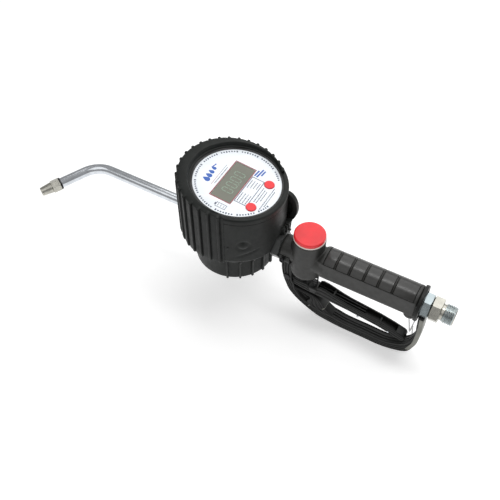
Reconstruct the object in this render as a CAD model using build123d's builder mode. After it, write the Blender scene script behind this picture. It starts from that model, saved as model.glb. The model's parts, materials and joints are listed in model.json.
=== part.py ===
from build123d import *

import math
import os

# Hand-held digital oil meter on a trigger-operated control gun, with a bent spout.
# Millimetres, +Z up. The origin is the centre of the inlet thread's end face, and +X points out of the
# inlet. The fluid axis is the X axis, and the dial faces up.

os.makedirs("parts", exist_ok=True)

# ---- driving dimensions -------------------------------------------------------------------------
# Fits
running_gap = 0.05
assembly_gap = 0.1
body_gap = 0.4

# Inlet swivel, from the inlet face inwards
thread_r = 10.48
thread_length = 11.7
thread_neck_r = 8.5
thread_neck_length = 2.5
nipple_hex_af = 24.0
nipple_hex_length = 10.5
gland_hex_af = 24.0
gland_hex_length = 8.5
gland_shank_r = 10.0
gland_shank_length = 15.0
inlet_bore_r = 6.0
swivel_stem_r = 7.5
swivel_stem_length = 10.0
seal_setback = 7.5
filter_length = 9.0
filter_wall = 0.6
seal_groove = 1.9
seal_groove_gap = 0.6
filter_inset = 1.0
filter_lip = 0.75
stem_bore_r = 4.5

# Handle
guard_ring_thickness = 4.0
guard_ring_r = 19.5
grip_length = 106.5
grip_dome_r = 18.0
grip_half_width = 13.4
grip_floor = 12.0
saddle_length = 18.5
turret_r = 17.5
turret_top = 28.6
turret_depth = 24.0
turret_wall = 4.5
cap_inset = 0.7
neck_r = 13.5
neck_reach = 27.5
spigot_r = 9.0
spigot_length = 7.0
flange_r = 11.0
flange_length = 2.5
panel_depth = 1.5
panel_margin = 4.0
panel_half_angle = 48.0
lug_length = 12.0
lug_drop = 14.0
lug_half_width = 6.0
wire_r = 0.6
latch_hole_inset = 4.4
latch_hole_rise = 3.6

# Valve inside the turret
passage_r = 4.5
passage_height = 5.0
outlet_passage_depth = 4.0
plug_thickness = 8.0
plug_inset = 1.0
plug_key_af = 10.0
seat_r = 8.0
seat_thickness = 3.0
seat_bore_r = 5.0
poppet_r = 7.0
poppet_thickness = 4.0
stem_r = 2.5
undercut_r = 7.0
undercut_depth = 10.0
packing_r = 6.0
packing_depth = 6.0
cap_thickness = 4.75
cap_ring_thickness = 1.4

# Trigger and guard
lever_half_width = 6.0
tongue_half_width = 4.2
tongue_r = 6.0
pivot_offset = 20.0
pivot_depth = 43.0
pin_r = 2.5
guard_half_width = 6.5
return_spring_offset = 12.0
return_spring_r = 3.2
lever_rest_gap = 0.3

# Coupling between the gun and the meter
seal_thickness = 0.5
coupling_af = 30.0
coupling_length = 11.0
meter_boss_r = 11.0
meter_boss_reach = 10.5

# Meter
housing_top = 16.0
housing_bottom = -30.0
port_r = 7.0
gear_offset = 14.0
gear_teeth = 14
gear_height = 29.8
chamber_top = 10.0
chamber_bottom = -20.0
chamber_gap = 0.15
shaft_r = 4.0
shaft_seat = 4.0
cover_thickness = 6.4
spigot_margin = 0.95
screw_margin = 5.0
screw_wall = 4.0
cover_screw_count = 6
cover_screw_r = 1.95
cover_head_r = 3.6
cover_head_depth = 3.0
cover_screw_length = 18.0
cover_key_af = 3.2
cover_seal_r = 1.15
cover_seal_drop = 6.2
magnet_r = 2.0
magnet_length = 3.0
magnet_circle_r = 8.0

# Electronics case and dial
case_wall = 3.6
case_floor = 4.0
dial_height = 66.7
dial_tilt = 6.0
dial_r = 46.2
dial_thickness = 1.2
dial_clearance = 0.2
case_rim = 1.2
case_ledge = 2.4
case_screw_r = 1.5
case_head_r = 2.8
case_head_thickness = 1.8
case_post_r = 3.0
case_post_inset = 6.0
window_x, window_y = -3.6, -2.0
window_width, window_length = 23.1, 53.7
lcd_thickness = 5.4
board_thickness = 1.6
button_r = 5.3
button_travel = 0.8
button_proud = 1.0
button_depth = 3.0
button_collar = 1.5
button_collar_thickness = 1.6
button_stem_r = 2.0
switch_size = 6.0
switch_height = 0.7
reset_place = (29.5, 15.2)
function_place = (28.2, -21.3)
battery_r = 5.25
battery_length = 44.5
holder_floor = 2.0
holder_wall = 3.0
holder_x = -2.0
holder_y = -8.0

# Rubber boot
boot_lower_wall = 4.1
boot_upper_wall = 3.3
boot_base = -40.0
boot_floor = 3.3
boot_step = 2.0
boot_lip = 2.4
boot_lip_margin = 1.8
hood_offset = 7.4
hood_nut_gap = 3.0
hood_swell = 5.6
hood_wall = 3.0
hood_bottom = -20.0
hood_height = 7.0
hood_edge_height = 4.4
hood_start = 40.0
hood_end = 292.0
rib_width = 2.5
rib_height = 1.8
rib_pitch = 11.0
eye_y = 20.0
eye_thickness = 5.0
eye_reach = 12.0
eye_height = 38.5
eye_half_length = 20.5
nut_clearance = 1.2
fin_count = 9
fin_spread = 142.0

# Spout
outlet_boss_wall = 6.0
outlet_boss_length = 10.0
outlet_nut_length = 13.0
outlet_nut_lap = 6.0
tube_r = 6.0
tube_wall = 1.5
tube_straight = 122.0
bend_r = 31.0
bend_angle = 60.0
spout_roll = 5.8
tube_end = 29.6
ring_length = 1.8
nozzle_hex_length = 10.0
nozzle_tip_length = 13.2
nozzle_stub_length = 6.0
nozzle_bore_r = 2.7

# ---- sizes that follow from the driving ones -----------------------------------------------------
plug_r = turret_r - turret_wall
valve_chamber_r = plug_r - 2.0
cap_r = turret_r - cap_inset
gear_module = 2.0 * gear_offset / gear_teeth
gear_tip_r = gear_offset + 0.95 * gear_module
gear_root_r = gear_offset - 1.25 * gear_module
pocket_r = gear_tip_r + chamber_gap
spigot_seat_r = gear_offset + pocket_r + spigot_margin
screw_circle_r = spigot_seat_r + screw_margin
housing_r = screw_circle_r + screw_wall
case_r = dial_r + dial_clearance + case_wall
case_inner_r = dial_r + dial_clearance - case_ledge
case_screw_circle_r = min(screw_circle_r, case_inner_r - case_post_inset)
board_r = case_inner_r - 0.5
boot_lower_r = housing_r + body_gap + boot_lower_wall
boot_upper_r = case_r + assembly_gap + boot_upper_wall
boot_lip_r = dial_r + boot_lip_margin
hood_mouth_r = case_r
hood_r = case_r + hood_swell
outlet_reach = housing_r + outlet_boss_length - outlet_nut_lap + outlet_nut_length
hood_shift = -max(hood_offset, outlet_reach + hood_nut_gap + hood_wall - hood_r)
tube_bore_r = tube_r - tube_wall
outlet_boss_r = tube_r + outlet_boss_wall
outlet_nut_af = 2 * outlet_boss_r + 2.0
ring_r = tube_r + 1.3
nozzle_af = 2 * tube_r + 1.0
nozzle_tip_r = tube_r - 1.1
nozzle_chamber_r = tube_r - 2.0

# ---- stations along the fluid axis --------------------------------------------------------------
thread_root_x = -thread_length
nipple_x = thread_root_x - thread_neck_length
gland_x = nipple_x - nipple_hex_length
seal_x = gland_x - seal_setback
ring_x = gland_x - gland_hex_length
grip_end_x = ring_x - guard_ring_thickness
grip_front_x = grip_end_x - grip_length
turret_x = grip_front_x - saddle_length
neck_x = turret_x - neck_reach
spigot_x = neck_x - spigot_length
boss_x = spigot_x - seal_thickness
meter_x = boss_x - meter_boss_reach - housing_r
outlet_x = meter_x - housing_r - outlet_boss_length
pivot_x = turret_x - pivot_offset
chamber_roof = turret_top - plug_thickness - plug_inset
latch_x = grip_end_x - latch_hole_inset
latch_z = -grip_floor - lug_drop + latch_hole_rise
dial_slope = math.tan(math.radians(dial_tilt))


def across(x, y=0, z=0):
    """Plane across the fluid axis: its x is +Y, its y is +Z and it faces +X."""
    return Plane(origin=(x, y, z), x_dir=(0, 1, 0), z_dir=(1, 0, 0))


def level(x, y, z):
    """Level plane that faces up."""
    return Plane(origin=(x, y, z))


def beside(y=0.0):
    """Upright plane along the fluid axis: its x is +X, its y is +Z and it faces -Y."""
    return Plane(origin=(0, y, 0), x_dir=(1, 0, 0), z_dir=(0, -1, 0))


def dial_plane(height=0.0, x=0.0, y=0.0):
    """Plane parallel to the tilted dial, raised by height, with x towards the handle."""
    base = Plane(origin=(meter_x, 0, dial_height), x_dir=(1, 0, -dial_slope), z_dir=(dial_slope, 0, 1))
    return base.shift_origin(base.from_local_coords(Vector(x, y, 0))).offset(height)


# ---- inlet swivel -------------------------------------------------------------------------------
with BuildPart() as swivel_nipple:
    with BuildSketch(across(thread_root_x)):
        Circle(thread_r)
    extrude(amount=thread_length)
    with BuildSketch(across(nipple_x)):
        Circle(thread_neck_r)
    extrude(amount=thread_neck_length)
    with BuildSketch(across(gland_x + 0.5)):
        RegularPolygon(nipple_hex_af / 2, 6, major_radius=False)
    extrude(amount=nipple_hex_length - 0.5)
    with BuildSketch(across(gland_x - swivel_stem_length)):
        Circle(swivel_stem_r)
    extrude(amount=swivel_stem_length + 0.5)
    with BuildSketch(across(gland_x - swivel_stem_length)):
        Circle(stem_bore_r)
    extrude(amount=swivel_stem_length - gland_x, mode=Mode.SUBTRACT)
    with BuildSketch(across(0)):
        Circle(inlet_bore_r + filter_lip + running_gap)
    extrude(amount=-filter_length - filter_inset, mode=Mode.SUBTRACT)
    with BuildSketch(across(seal_x)):
        Circle(swivel_stem_r)
        Circle(swivel_stem_r - seal_groove, mode=Mode.SUBTRACT)
    extrude(amount=seal_groove + seal_groove_gap, mode=Mode.SUBTRACT)
swivel_nipple.part.label = "swivel_nipple"
export_step(swivel_nipple.part, "parts/swivel_nipple.step")

with BuildPart() as inlet_gland:
    with BuildSketch(across(ring_x)):
        RegularPolygon(gland_hex_af / 2, 6, major_radius=False)
    extrude(amount=gland_hex_length)
    with BuildSketch(across(ring_x)):
        Circle(gland_shank_r)
    extrude(amount=-gland_shank_length)
    with BuildSketch(across(gland_x)):
        Circle(swivel_stem_r + running_gap)
    extrude(amount=-swivel_stem_length - 2.0, mode=Mode.SUBTRACT)
    with BuildSketch(across(gland_x)):
        Circle(swivel_stem_r - 1.0)
    extrude(amount=-gland_hex_length - gland_shank_length, mode=Mode.SUBTRACT)
inlet_gland.part.label = "inlet_gland"
export_step(inlet_gland.part, "parts/inlet_gland.step")

with BuildPart() as swivel_seal:
    with BuildSketch(beside()):
        with Locations((seal_x + (seal_groove + seal_groove_gap) / 2, swivel_stem_r - seal_groove / 2)):
            Circle(seal_groove / 2)
    revolve(axis=Axis.X)
swivel_seal.part.label = "swivel_seal"
export_step(swivel_seal.part, "parts/swivel_seal.step")

with BuildPart() as inlet_filter:
    with BuildSketch(across(-filter_inset - filter_length)):
        Circle(inlet_bore_r)
    extrude(amount=filter_length)
    with BuildSketch(across(-filter_inset)):
        Circle(inlet_bore_r + filter_lip)
    extrude(amount=-2 * filter_wall)
    with BuildSketch(across(-filter_inset)):
        Circle(inlet_bore_r - filter_wall)
    extrude(amount=-filter_length + 2 * filter_wall, mode=Mode.SUBTRACT)
inlet_filter.part.label = "inlet_filter"
export_step(inlet_filter.part, "parts/inlet_filter.step")

# ---- handle -------------------------------------------------------------------------------------
with BuildPart() as handle_body:
    # Domed grip with flat flanks
    with BuildSketch(across(grip_front_x)):
        Circle(grip_dome_r)
        Rectangle(2 * grip_half_width, grip_floor + grip_dome_r, align=(Align.CENTER, Align.MIN),
                  mode=Mode.INTERSECT)
        with Locations((0, -grip_floor)):
            Rectangle(2 * grip_half_width, 2 * grip_floor, align=(Align.CENTER, Align.MIN))
    extrude(amount=grip_length)
    fillet(handle_body.edges().filter_by(Axis.X).group_by(Axis.Z)[0], 4.0)
    # Saddle, turret and neck
    with BuildSketch(across(turret_x)):
        Circle(neck_r + 1.0)
    extrude(amount=saddle_length)
    with BuildSketch(level(turret_x, 0, -turret_depth)):
        Circle(turret_r)
    extrude(amount=turret_depth + turret_top)
    with BuildSketch(across(neck_x)):
        Circle(neck_r)
    extrude(amount=neck_reach)
    with BuildSketch(across(spigot_x)):
        Circle(spigot_r)
    extrude(amount=spigot_length)
    with BuildSketch(across(spigot_x)):
        Circle(flange_r)
    extrude(amount=flange_length)
    # Rear lug for the latch wire
    with BuildSketch(beside()):
        with Locations((grip_end_x - lug_length / 2, -grip_floor)):
            Rectangle(lug_length, 2 * (lug_drop - lug_length / 2))
        with Locations((grip_end_x - lug_length / 2, -grip_floor - lug_drop + lug_length / 2)):
            Circle(lug_length / 2)
    extrude(amount=lug_half_width, both=True)
    # Recess for the grip panel
    with BuildSketch(across(grip_front_x + panel_margin)):
        Circle(grip_dome_r + 1.0)
        Circle(grip_dome_r - panel_depth, mode=Mode.SUBTRACT)
        with Locations((0, grip_dome_r * math.cos(math.radians(panel_half_angle)))):
            Rectangle(4 * grip_dome_r, grip_dome_r, align=(Align.CENTER, Align.MIN), mode=Mode.INTERSECT)
    extrude(amount=grip_length - 2 * panel_margin, mode=Mode.SUBTRACT)
    # Inlet socket and passage to the valve
    with BuildSketch(across(grip_end_x)):
        Circle(gland_shank_r)
    extrude(amount=-gland_shank_length - 1.0, mode=Mode.SUBTRACT)
    with BuildSketch(across(turret_x, 0, passage_height)):
        Circle(passage_r)
    extrude(amount=grip_end_x - turret_x, mode=Mode.SUBTRACT)
    # Valve chamber, seat bore, undercut, stem bore and packing bore
    with BuildSketch(level(turret_x, 0, turret_top)):
        Circle(plug_r)
    extrude(amount=chamber_roof - turret_top, mode=Mode.SUBTRACT)
    with BuildSketch(level(turret_x, 0, 0)):
        Circle(valve_chamber_r)
    extrude(amount=turret_top, mode=Mode.SUBTRACT)
    with BuildSketch(level(turret_x, 0, -seat_thickness)):
        Circle(seat_r)
    extrude(amount=2 * seat_thickness, mode=Mode.SUBTRACT)
    with BuildSketch(level(turret_x, 0, -undercut_depth)):
        Circle(undercut_r)
    extrude(amount=undercut_depth, mode=Mode.SUBTRACT)
    with BuildSketch(level(turret_x, 0, -turret_depth)):
        Circle(stem_r + running_gap)
    extrude(amount=turret_depth, mode=Mode.SUBTRACT)
    with BuildSketch(level(turret_x, 0, -turret_depth)):
        Circle(packing_r)
    extrude(amount=packing_depth, mode=Mode.SUBTRACT)
    # Outlet passage and bore of the neck
    with BuildSketch(across(turret_x, 0, -outlet_passage_depth)):
        Circle(passage_r)
    extrude(amount=-neck_reach + 6.0, mode=Mode.SUBTRACT)
    with BuildSketch(across(spigot_x)):
        Circle(port_r - 1.0)
    extrude(amount=spigot_length + 8.0, mode=Mode.SUBTRACT)
    # Hole for the latch wire
    with BuildSketch(beside()):
        with Locations((latch_x, latch_z)):
            Circle(wire_r + body_gap)
    extrude(amount=lug_half_width, both=True, mode=Mode.SUBTRACT)
handle_body.part.label = "handle_body"
export_step(handle_body.part, "parts/handle_body.step")

groove_count = 5
groove_pitch = 16.0
groove_first = 12.0
with BuildPart() as grip_panel:
    with BuildSketch(across(grip_front_x + panel_margin + assembly_gap)):
        Circle(grip_dome_r)
        Circle(grip_dome_r - panel_depth, mode=Mode.SUBTRACT)
        with Locations((0, grip_dome_r * math.cos(math.radians(panel_half_angle)) + assembly_gap)):
            Rectangle(4 * grip_dome_r, grip_dome_r, align=(Align.CENTER, Align.MIN), mode=Mode.INTERSECT)
    extrude(amount=grip_length - 2 * panel_margin - 2 * assembly_gap)
    for groove in range(groove_count):
        with BuildSketch(across(grip_front_x + panel_margin + groove_first + groove * groove_pitch)):
            Circle(grip_dome_r + 1.0)
            Circle(grip_dome_r - panel_depth / 2, mode=Mode.SUBTRACT)
        extrude(amount=1.0, mode=Mode.SUBTRACT)
grip_panel.part.label = "grip_panel"
export_step(grip_panel.part, "parts/grip_panel.step")

# ---- valve --------------------------------------------------------------------------------------
with BuildPart() as valve_plug:
    with BuildSketch(level(turret_x, 0, chamber_roof)):
        Circle(plug_r)
    extrude(amount=plug_thickness)
    with BuildSketch(level(turret_x, 0, chamber_roof)):
        Circle(poppet_r)
    extrude(amount=plug_thickness / 2, mode=Mode.SUBTRACT)
    with BuildSketch(level(turret_x, 0, chamber_roof + plug_thickness)):
        RegularPolygon(plug_key_af / 2, 6, major_radius=False)
    extrude(amount=-plug_thickness / 2 + 1.0, mode=Mode.SUBTRACT)
valve_plug.part.label = "valve_plug"
export_step(valve_plug.part, "parts/valve_plug.step")

with BuildPart() as cap_ring:
    with BuildSketch(level(turret_x, 0, turret_top)):
        Circle(cap_r + 0.4)
        Circle(plug_r, mode=Mode.SUBTRACT)
    extrude(amount=cap_ring_thickness)
cap_ring.part.label = "cap_ring"
export_step(cap_ring.part, "parts/cap_ring.step")

with BuildPart() as valve_cap:
    with BuildSketch(level(turret_x, 0, turret_top + cap_ring_thickness)):
        Circle(cap_r)
    extrude(amount=cap_thickness)
    fillet(valve_cap.edges().group_by(Axis.Z)[-1], 1.6)
    with BuildSketch(level(turret_x, 0, turret_top + cap_ring_thickness)):
        Circle(plug_r - assembly_gap)
    extrude(amount=-cap_ring_thickness - plug_inset + assembly_gap)
valve_cap.part.label = "valve_cap"
export_step(valve_cap.part, "parts/valve_cap.step")

with BuildPart() as valve_seat:
    with BuildSketch(level(turret_x, 0, -seat_thickness)):
        Circle(seat_r)
        Circle(seat_bore_r, mode=Mode.SUBTRACT)
    extrude(amount=seat_thickness - running_gap)
valve_seat.part.label = "valve_seat"
export_step(valve_seat.part, "parts/valve_seat.step")

spring_guide_r = 4.2
spring_wall = 1.2
stem_tip_z = -pivot_depth + lever_rest_gap
with BuildPart() as valve_poppet:
    with BuildSketch(level(turret_x, 0, 0)):
        Circle(poppet_r)
    extrude(amount=poppet_thickness)
    with BuildSketch(level(turret_x, 0, poppet_thickness)):
        Circle(spring_guide_r)
    extrude(amount=poppet_thickness)
    with BuildSketch(level(turret_x, 0, stem_tip_z)):
        Circle(stem_r)
    extrude(amount=-stem_tip_z)
    fillet(valve_poppet.edges().group_by(Axis.Z)[0], stem_r - 0.1)
valve_poppet.part.label = "valve_poppet"
export_step(valve_poppet.part, "parts/valve_poppet.step")

with BuildPart() as valve_spring:
    with BuildSketch(level(turret_x, 0, poppet_thickness)):
        Circle(spring_guide_r + spring_wall + assembly_gap)
        Circle(spring_guide_r + assembly_gap, mode=Mode.SUBTRACT)
    extrude(amount=chamber_roof + plug_thickness / 2 - poppet_thickness)
valve_spring.part.label = "valve_spring"
export_step(valve_spring.part, "parts/valve_spring.step")

stem_seal_thickness = 2.2
with BuildPart() as stem_seal:
    with BuildSketch(level(turret_x, 0, -turret_depth + packing_depth - stem_seal_thickness)):
        Circle(packing_r)
        Circle(stem_r + running_gap, mode=Mode.SUBTRACT)
    extrude(amount=stem_seal_thickness)
stem_seal.part.label = "stem_seal"
export_step(stem_seal.part, "parts/stem_seal.step")

with BuildPart() as packing_nut:
    with BuildSketch(level(turret_x, 0, -turret_depth)):
        Circle(packing_r)
    extrude(amount=packing_depth - stem_seal_thickness)
    with BuildSketch(level(turret_x, 0, -turret_depth)):
        RegularPolygon(packing_r + 0.5, 6, major_radius=False)
    extrude(amount=-3.0)
    with BuildSketch(level(turret_x, 0, -turret_depth - 3.0)):
        Circle(stem_r + running_gap)
    extrude(amount=packing_depth + 3.0, mode=Mode.SUBTRACT)
packing_nut.part.label = "packing_nut"
export_step(packing_nut.part, "parts/packing_nut.step")

# ---- trigger lever and guard --------------------------------------------------------------------
lever_reach = grip_end_x - 2.5 - pivot_x
lever_rear_drop = 18.0
lever_seat_drop = 2.0
seat_x = pivot_x + pivot_offset + return_spring_offset


def lever_point(along, drop):
    """Point of the lever's side profile, from the pivot."""
    return (pivot_x + along, -pivot_depth - drop)


lever_top = [
    lever_point(tongue_r + 2.0, -1.0),
    lever_point(pivot_offset - 4.0, 0.0),
    lever_point(pivot_offset + 4.5, 0.0),
    lever_point(pivot_offset + 6.0, lever_seat_drop),
    lever_point(0.52 * lever_reach, 5.5),
    lever_point(0.77 * lever_reach, 10.0),
    lever_point(lever_reach - 1.5, lever_rear_drop),
    lever_point(lever_reach, lever_rear_drop + 5.0),
]
lever_bottom = [
    lever_point(lever_reach - 5.0, lever_rear_drop + 9.0),
    lever_point(0.77 * lever_reach, 19.0),
    lever_point(0.52 * lever_reach, 14.5),
    lever_point(pivot_offset + 4.5, 11.0),
    lever_point(tongue_r + 2.0, 8.0),
]
with BuildPart() as trigger_lever:
    with BuildSketch(beside()) as lever_side:
        with BuildLine():
            Polyline(*lever_top, *lever_bottom, close=True)
        make_face()
        fillet(lever_side.vertices().sort_by(Axis.X)[-3:], 2.5)
    extrude(amount=lever_half_width, both=True)
    with BuildSketch(beside()):
        with BuildLine():
            Polyline(lever_top[0], lever_top[1], lever_bottom[-2], lever_bottom[-1], close=True)
        make_face()
        with Locations((pivot_x, -pivot_depth)):
            Circle(tongue_r)
        with BuildLine():
            Polyline((pivot_x, -pivot_depth + tongue_r), lever_top[0], lever_bottom[-1],
                     (pivot_x, -pivot_depth - tongue_r), close=True)
        make_face()
    extrude(amount=tongue_half_width, both=True)
    # Channel open towards the grip
    with BuildSketch(beside()):
        with BuildLine():
            Polyline(lever_point(pivot_offset + 18.0, -2.0), lever_point(pivot_offset + 18.0, 7.0),
                     lever_point(0.52 * lever_reach, 10.0), lever_point(0.77 * lever_reach, 14.5),
                     lever_point(lever_reach - 12.0, lever_rear_drop + 1.0),
                     lever_point(lever_reach - 12.0, -2.0), close=True)
        make_face()
    extrude(amount=lever_half_width - 1.8, both=True, mode=Mode.SUBTRACT)
    with BuildSketch(beside()):
        with Locations((pivot_x, -pivot_depth)):
            Circle(pin_r + running_gap)
    extrude(amount=2 * lever_half_width, both=True, mode=Mode.SUBTRACT)
trigger_lever.part.label = "trigger_lever"
export_step(trigger_lever.part, "parts/trigger_lever.step")

with BuildPart() as return_spring:
    with BuildSketch(level(seat_x, 0, -turret_depth)):
        Circle(return_spring_r)
        Circle(return_spring_r - 1.0, mode=Mode.SUBTRACT)
    extrude(amount=turret_depth - pivot_depth - lever_seat_drop + body_gap)
return_spring.part.label = "return_spring"
export_step(return_spring.part, "parts/return_spring.step")

pin_head = 1.0
with BuildPart() as trigger_pin:
    with BuildSketch(beside()):
        with Locations((pivot_x, -pivot_depth)):
            Circle(pin_r)
    extrude(amount=guard_half_width + pin_head, both=True)
    for flank in (-1, 1):
        with BuildSketch(beside(flank * guard_half_width)):
            with Locations((pivot_x, -pivot_depth)):
                Circle(pin_r + 1.5)
        extrude(amount=-flank * pin_head)
trigger_pin.part.label = "trigger_pin"
export_step(trigger_pin.part, "parts/trigger_pin.step")

leg_front_x = neck_x + 0.3
leg_rear_x = neck_x + 13.0
leg_top = -neck_r - running_gap
guard_floor = -94.0
guard_inner_floor = -82.5
gusset_top = -57.5
screw_x = neck_x + 5.0
screw_z = -5.0
cradle_r = neck_r + 3.0
cradle_length = neck_reach - turret_r - 0.8
cradle_end_x = leg_front_x + cradle_length
leg_shoulder = -turret_depth - body_gap
leg_rear_floor = -53.0
screw_shank_r = 1.6
screw_boss_r = 3.6
tongue_slot_gap = 2.0
with BuildPart() as trigger_guard:
    with BuildSketch(beside()):
        with BuildLine():
            front = Spline((leg_front_x, -30.0), (neck_x + 12.0, -66.0), (neck_x + 45.0, -89.0),
                           (neck_x + 78.0, guard_floor), tangents=[(0, -1), (1, 0)])
            floor = Line(front @ 1, (ring_x - 32.0, guard_floor))
            rear = Spline(floor @ 1, (ring_x - 1.0, -83.0), (ring_x + 7.5, -50.0), (ring_x + 6.5, -17.0),
                          tangents=[(1, 0), (-0.15, 1)])
            Line(rear @ 1, (ring_x, -15.0))
            inner_rear = Spline((ring_x, -26.0), (ring_x + 2.0, -44.0), (ring_x - 3.0, -67.0),
                                (ring_x - 28.0, guard_inner_floor), tangents=[(0, -1), (-1, 0)])
            Line((ring_x, -15.0), inner_rear @ 0)
            inner_floor = Line(inner_rear @ 1, (neck_x + 82.0, guard_inner_floor))
            gusset = Polyline(inner_floor @ 1, (neck_x + 66.0, -79.5), (neck_x + 58.0, -74.0),
                              (neck_x + 49.0, -62.0), (neck_x + 40.0, gusset_top),
                              (neck_x + 20.0, gusset_top + 1.5), (leg_rear_x, leg_rear_floor),
                              (leg_rear_x, leg_shoulder), (cradle_end_x, leg_shoulder),
                              (cradle_end_x, leg_top))
            Polyline(gusset @ 1, (leg_front_x, leg_top), front @ 0)
        make_face()
    extrude(amount=guard_half_width, both=True)
    # Cradle under the neck, with a boss for each screw
    with BuildSketch(across(leg_front_x)):
        Circle(cradle_r)
        with Locations((0, -1.0)):
            Rectangle(4 * cradle_r, 2 * cradle_r, align=(Align.CENTER, Align.MAX), mode=Mode.INTERSECT)
    extrude(amount=cradle_length)
    with BuildSketch(beside()):
        with Locations((screw_x, screw_z)):
            Circle(screw_boss_r)
    extrude(amount=cradle_r + 0.1, both=True)
    with BuildSketch(across(leg_front_x - 1.0)):
        Circle(neck_r + running_gap)
    extrude(amount=neck_reach, mode=Mode.SUBTRACT)
    # Ring clamped at the inlet end
    with BuildSketch(across(grip_end_x)):
        Circle(guard_ring_r)
        Circle(gland_shank_r + assembly_gap, mode=Mode.SUBTRACT)
    extrude(amount=guard_ring_thickness)
    # Slot for the lever's tongue, window in the gusset, pin and screw holes
    with BuildSketch(beside()):
        with BuildLine():
            Polyline((pivot_x - tongue_r - 0.6, -pivot_depth + tongue_r + tongue_slot_gap),
                     (leg_rear_x + 1.0, -pivot_depth + tongue_r + tongue_slot_gap),
                     (leg_rear_x + 1.0, leg_rear_floor - tongue_slot_gap),
                     (pivot_x, -pivot_depth - tongue_r - tongue_slot_gap),
                     (pivot_x - tongue_r - 0.6, -pivot_depth - tongue_r), close=True)
        make_face()
    extrude(amount=tongue_half_width + body_gap, both=True, mode=Mode.SUBTRACT)
    with BuildSketch(beside()) as window:
        with BuildLine():
            Polyline((neck_x + 17.0, -59.5), (neck_x + 37.0, -62.5), (neck_x + 30.0, -72.5), close=True)
        make_face()
        fillet(window.vertices(), 1.5)
    extrude(amount=guard_half_width, both=True, mode=Mode.SUBTRACT)
    with BuildSketch(beside()):
        with Locations((pivot_x, -pivot_depth)):
            Circle(pin_r)
        with Locations((screw_x, screw_z)):
            Circle(screw_shank_r)
    extrude(amount=2 * cradle_r, both=True, mode=Mode.SUBTRACT)
trigger_guard.part.label = "trigger_guard"
export_step(trigger_guard.part, "parts/trigger_guard.step")

screw_head_r = 3.0
screw_head_thickness = 1.6
with BuildPart() as guard_screws:
    for flank in (-1, 1):
        with BuildSketch(beside(flank * (cradle_r + 0.1))):
            with Locations((screw_x, screw_z)):
                Circle(screw_head_r)
        extrude(amount=-flank * screw_head_thickness)
        with BuildSketch(beside(flank * (cradle_r + 0.1))):
            with Locations((screw_x, screw_z)):
                Circle(screw_shank_r - running_gap)
        extrude(amount=flank * (cradle_r - neck_r + body_gap))
guard_screws.part.label = "guard_screws"
export_step(guard_screws.part, "parts/guard_screws.step")

# ---- latch wire that holds the lever squeezed ---------------------------------------------------
wire_y = lug_half_width + 1.3
latch_drop = 22.0
latch_reach = 4.5
with BuildPart() as latch_wire:
    with BuildLine() as wire_path:
        FilletPolyline(
            (latch_x + latch_reach, -wire_y + 2.0, latch_z - latch_drop),
            (latch_x + latch_reach, wire_y, latch_z - latch_drop),
            (latch_x, wire_y, latch_z),
            (latch_x, -wire_y, latch_z),
            (latch_x + latch_reach, -wire_y, latch_z - latch_drop),
            (latch_x + latch_reach + 1.5, -wire_y, latch_z - 0.45 * latch_drop),
            (latch_x + 2.2 * latch_reach, -wire_y, latch_z - 1.1 * latch_drop),
            radius=1.0,
        )
    with BuildSketch(Plane(wire_path.line @ 0, z_dir=wire_path.line % 0)):
        Circle(wire_r)
    sweep(transition=Transition.ROUND)
latch_wire.part.label = "latch_wire"
export_step(latch_wire.part, "parts/latch_wire.step")

# ---- coupling between the gun and the meter -----------------------------------------------------
nut_x = neck_x - coupling_length
with BuildPart() as coupling_nut:
    with BuildSketch(across(nut_x)):
        RegularPolygon(coupling_af / 2, 6, major_radius=False)
    extrude(amount=coupling_length - assembly_gap)
    with BuildSketch(across(nut_x)):
        Circle(flange_r + running_gap)
    extrude(amount=spigot_x + flange_length + assembly_gap - nut_x, mode=Mode.SUBTRACT)
    with BuildSketch(across(nut_x)):
        Circle(spigot_r + assembly_gap)
    extrude(amount=coupling_length, mode=Mode.SUBTRACT)
coupling_nut.part.label = "coupling_nut"
export_step(coupling_nut.part, "parts/coupling_nut.step")

with BuildPart() as coupling_seal:
    with BuildSketch(across(boss_x)):
        Circle(meter_boss_r - 0.2)
        Circle(port_r, mode=Mode.SUBTRACT)
    extrude(amount=seal_thickness)
coupling_seal.part.label = "coupling_seal"
export_step(coupling_seal.part, "parts/coupling_seal.step")

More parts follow.
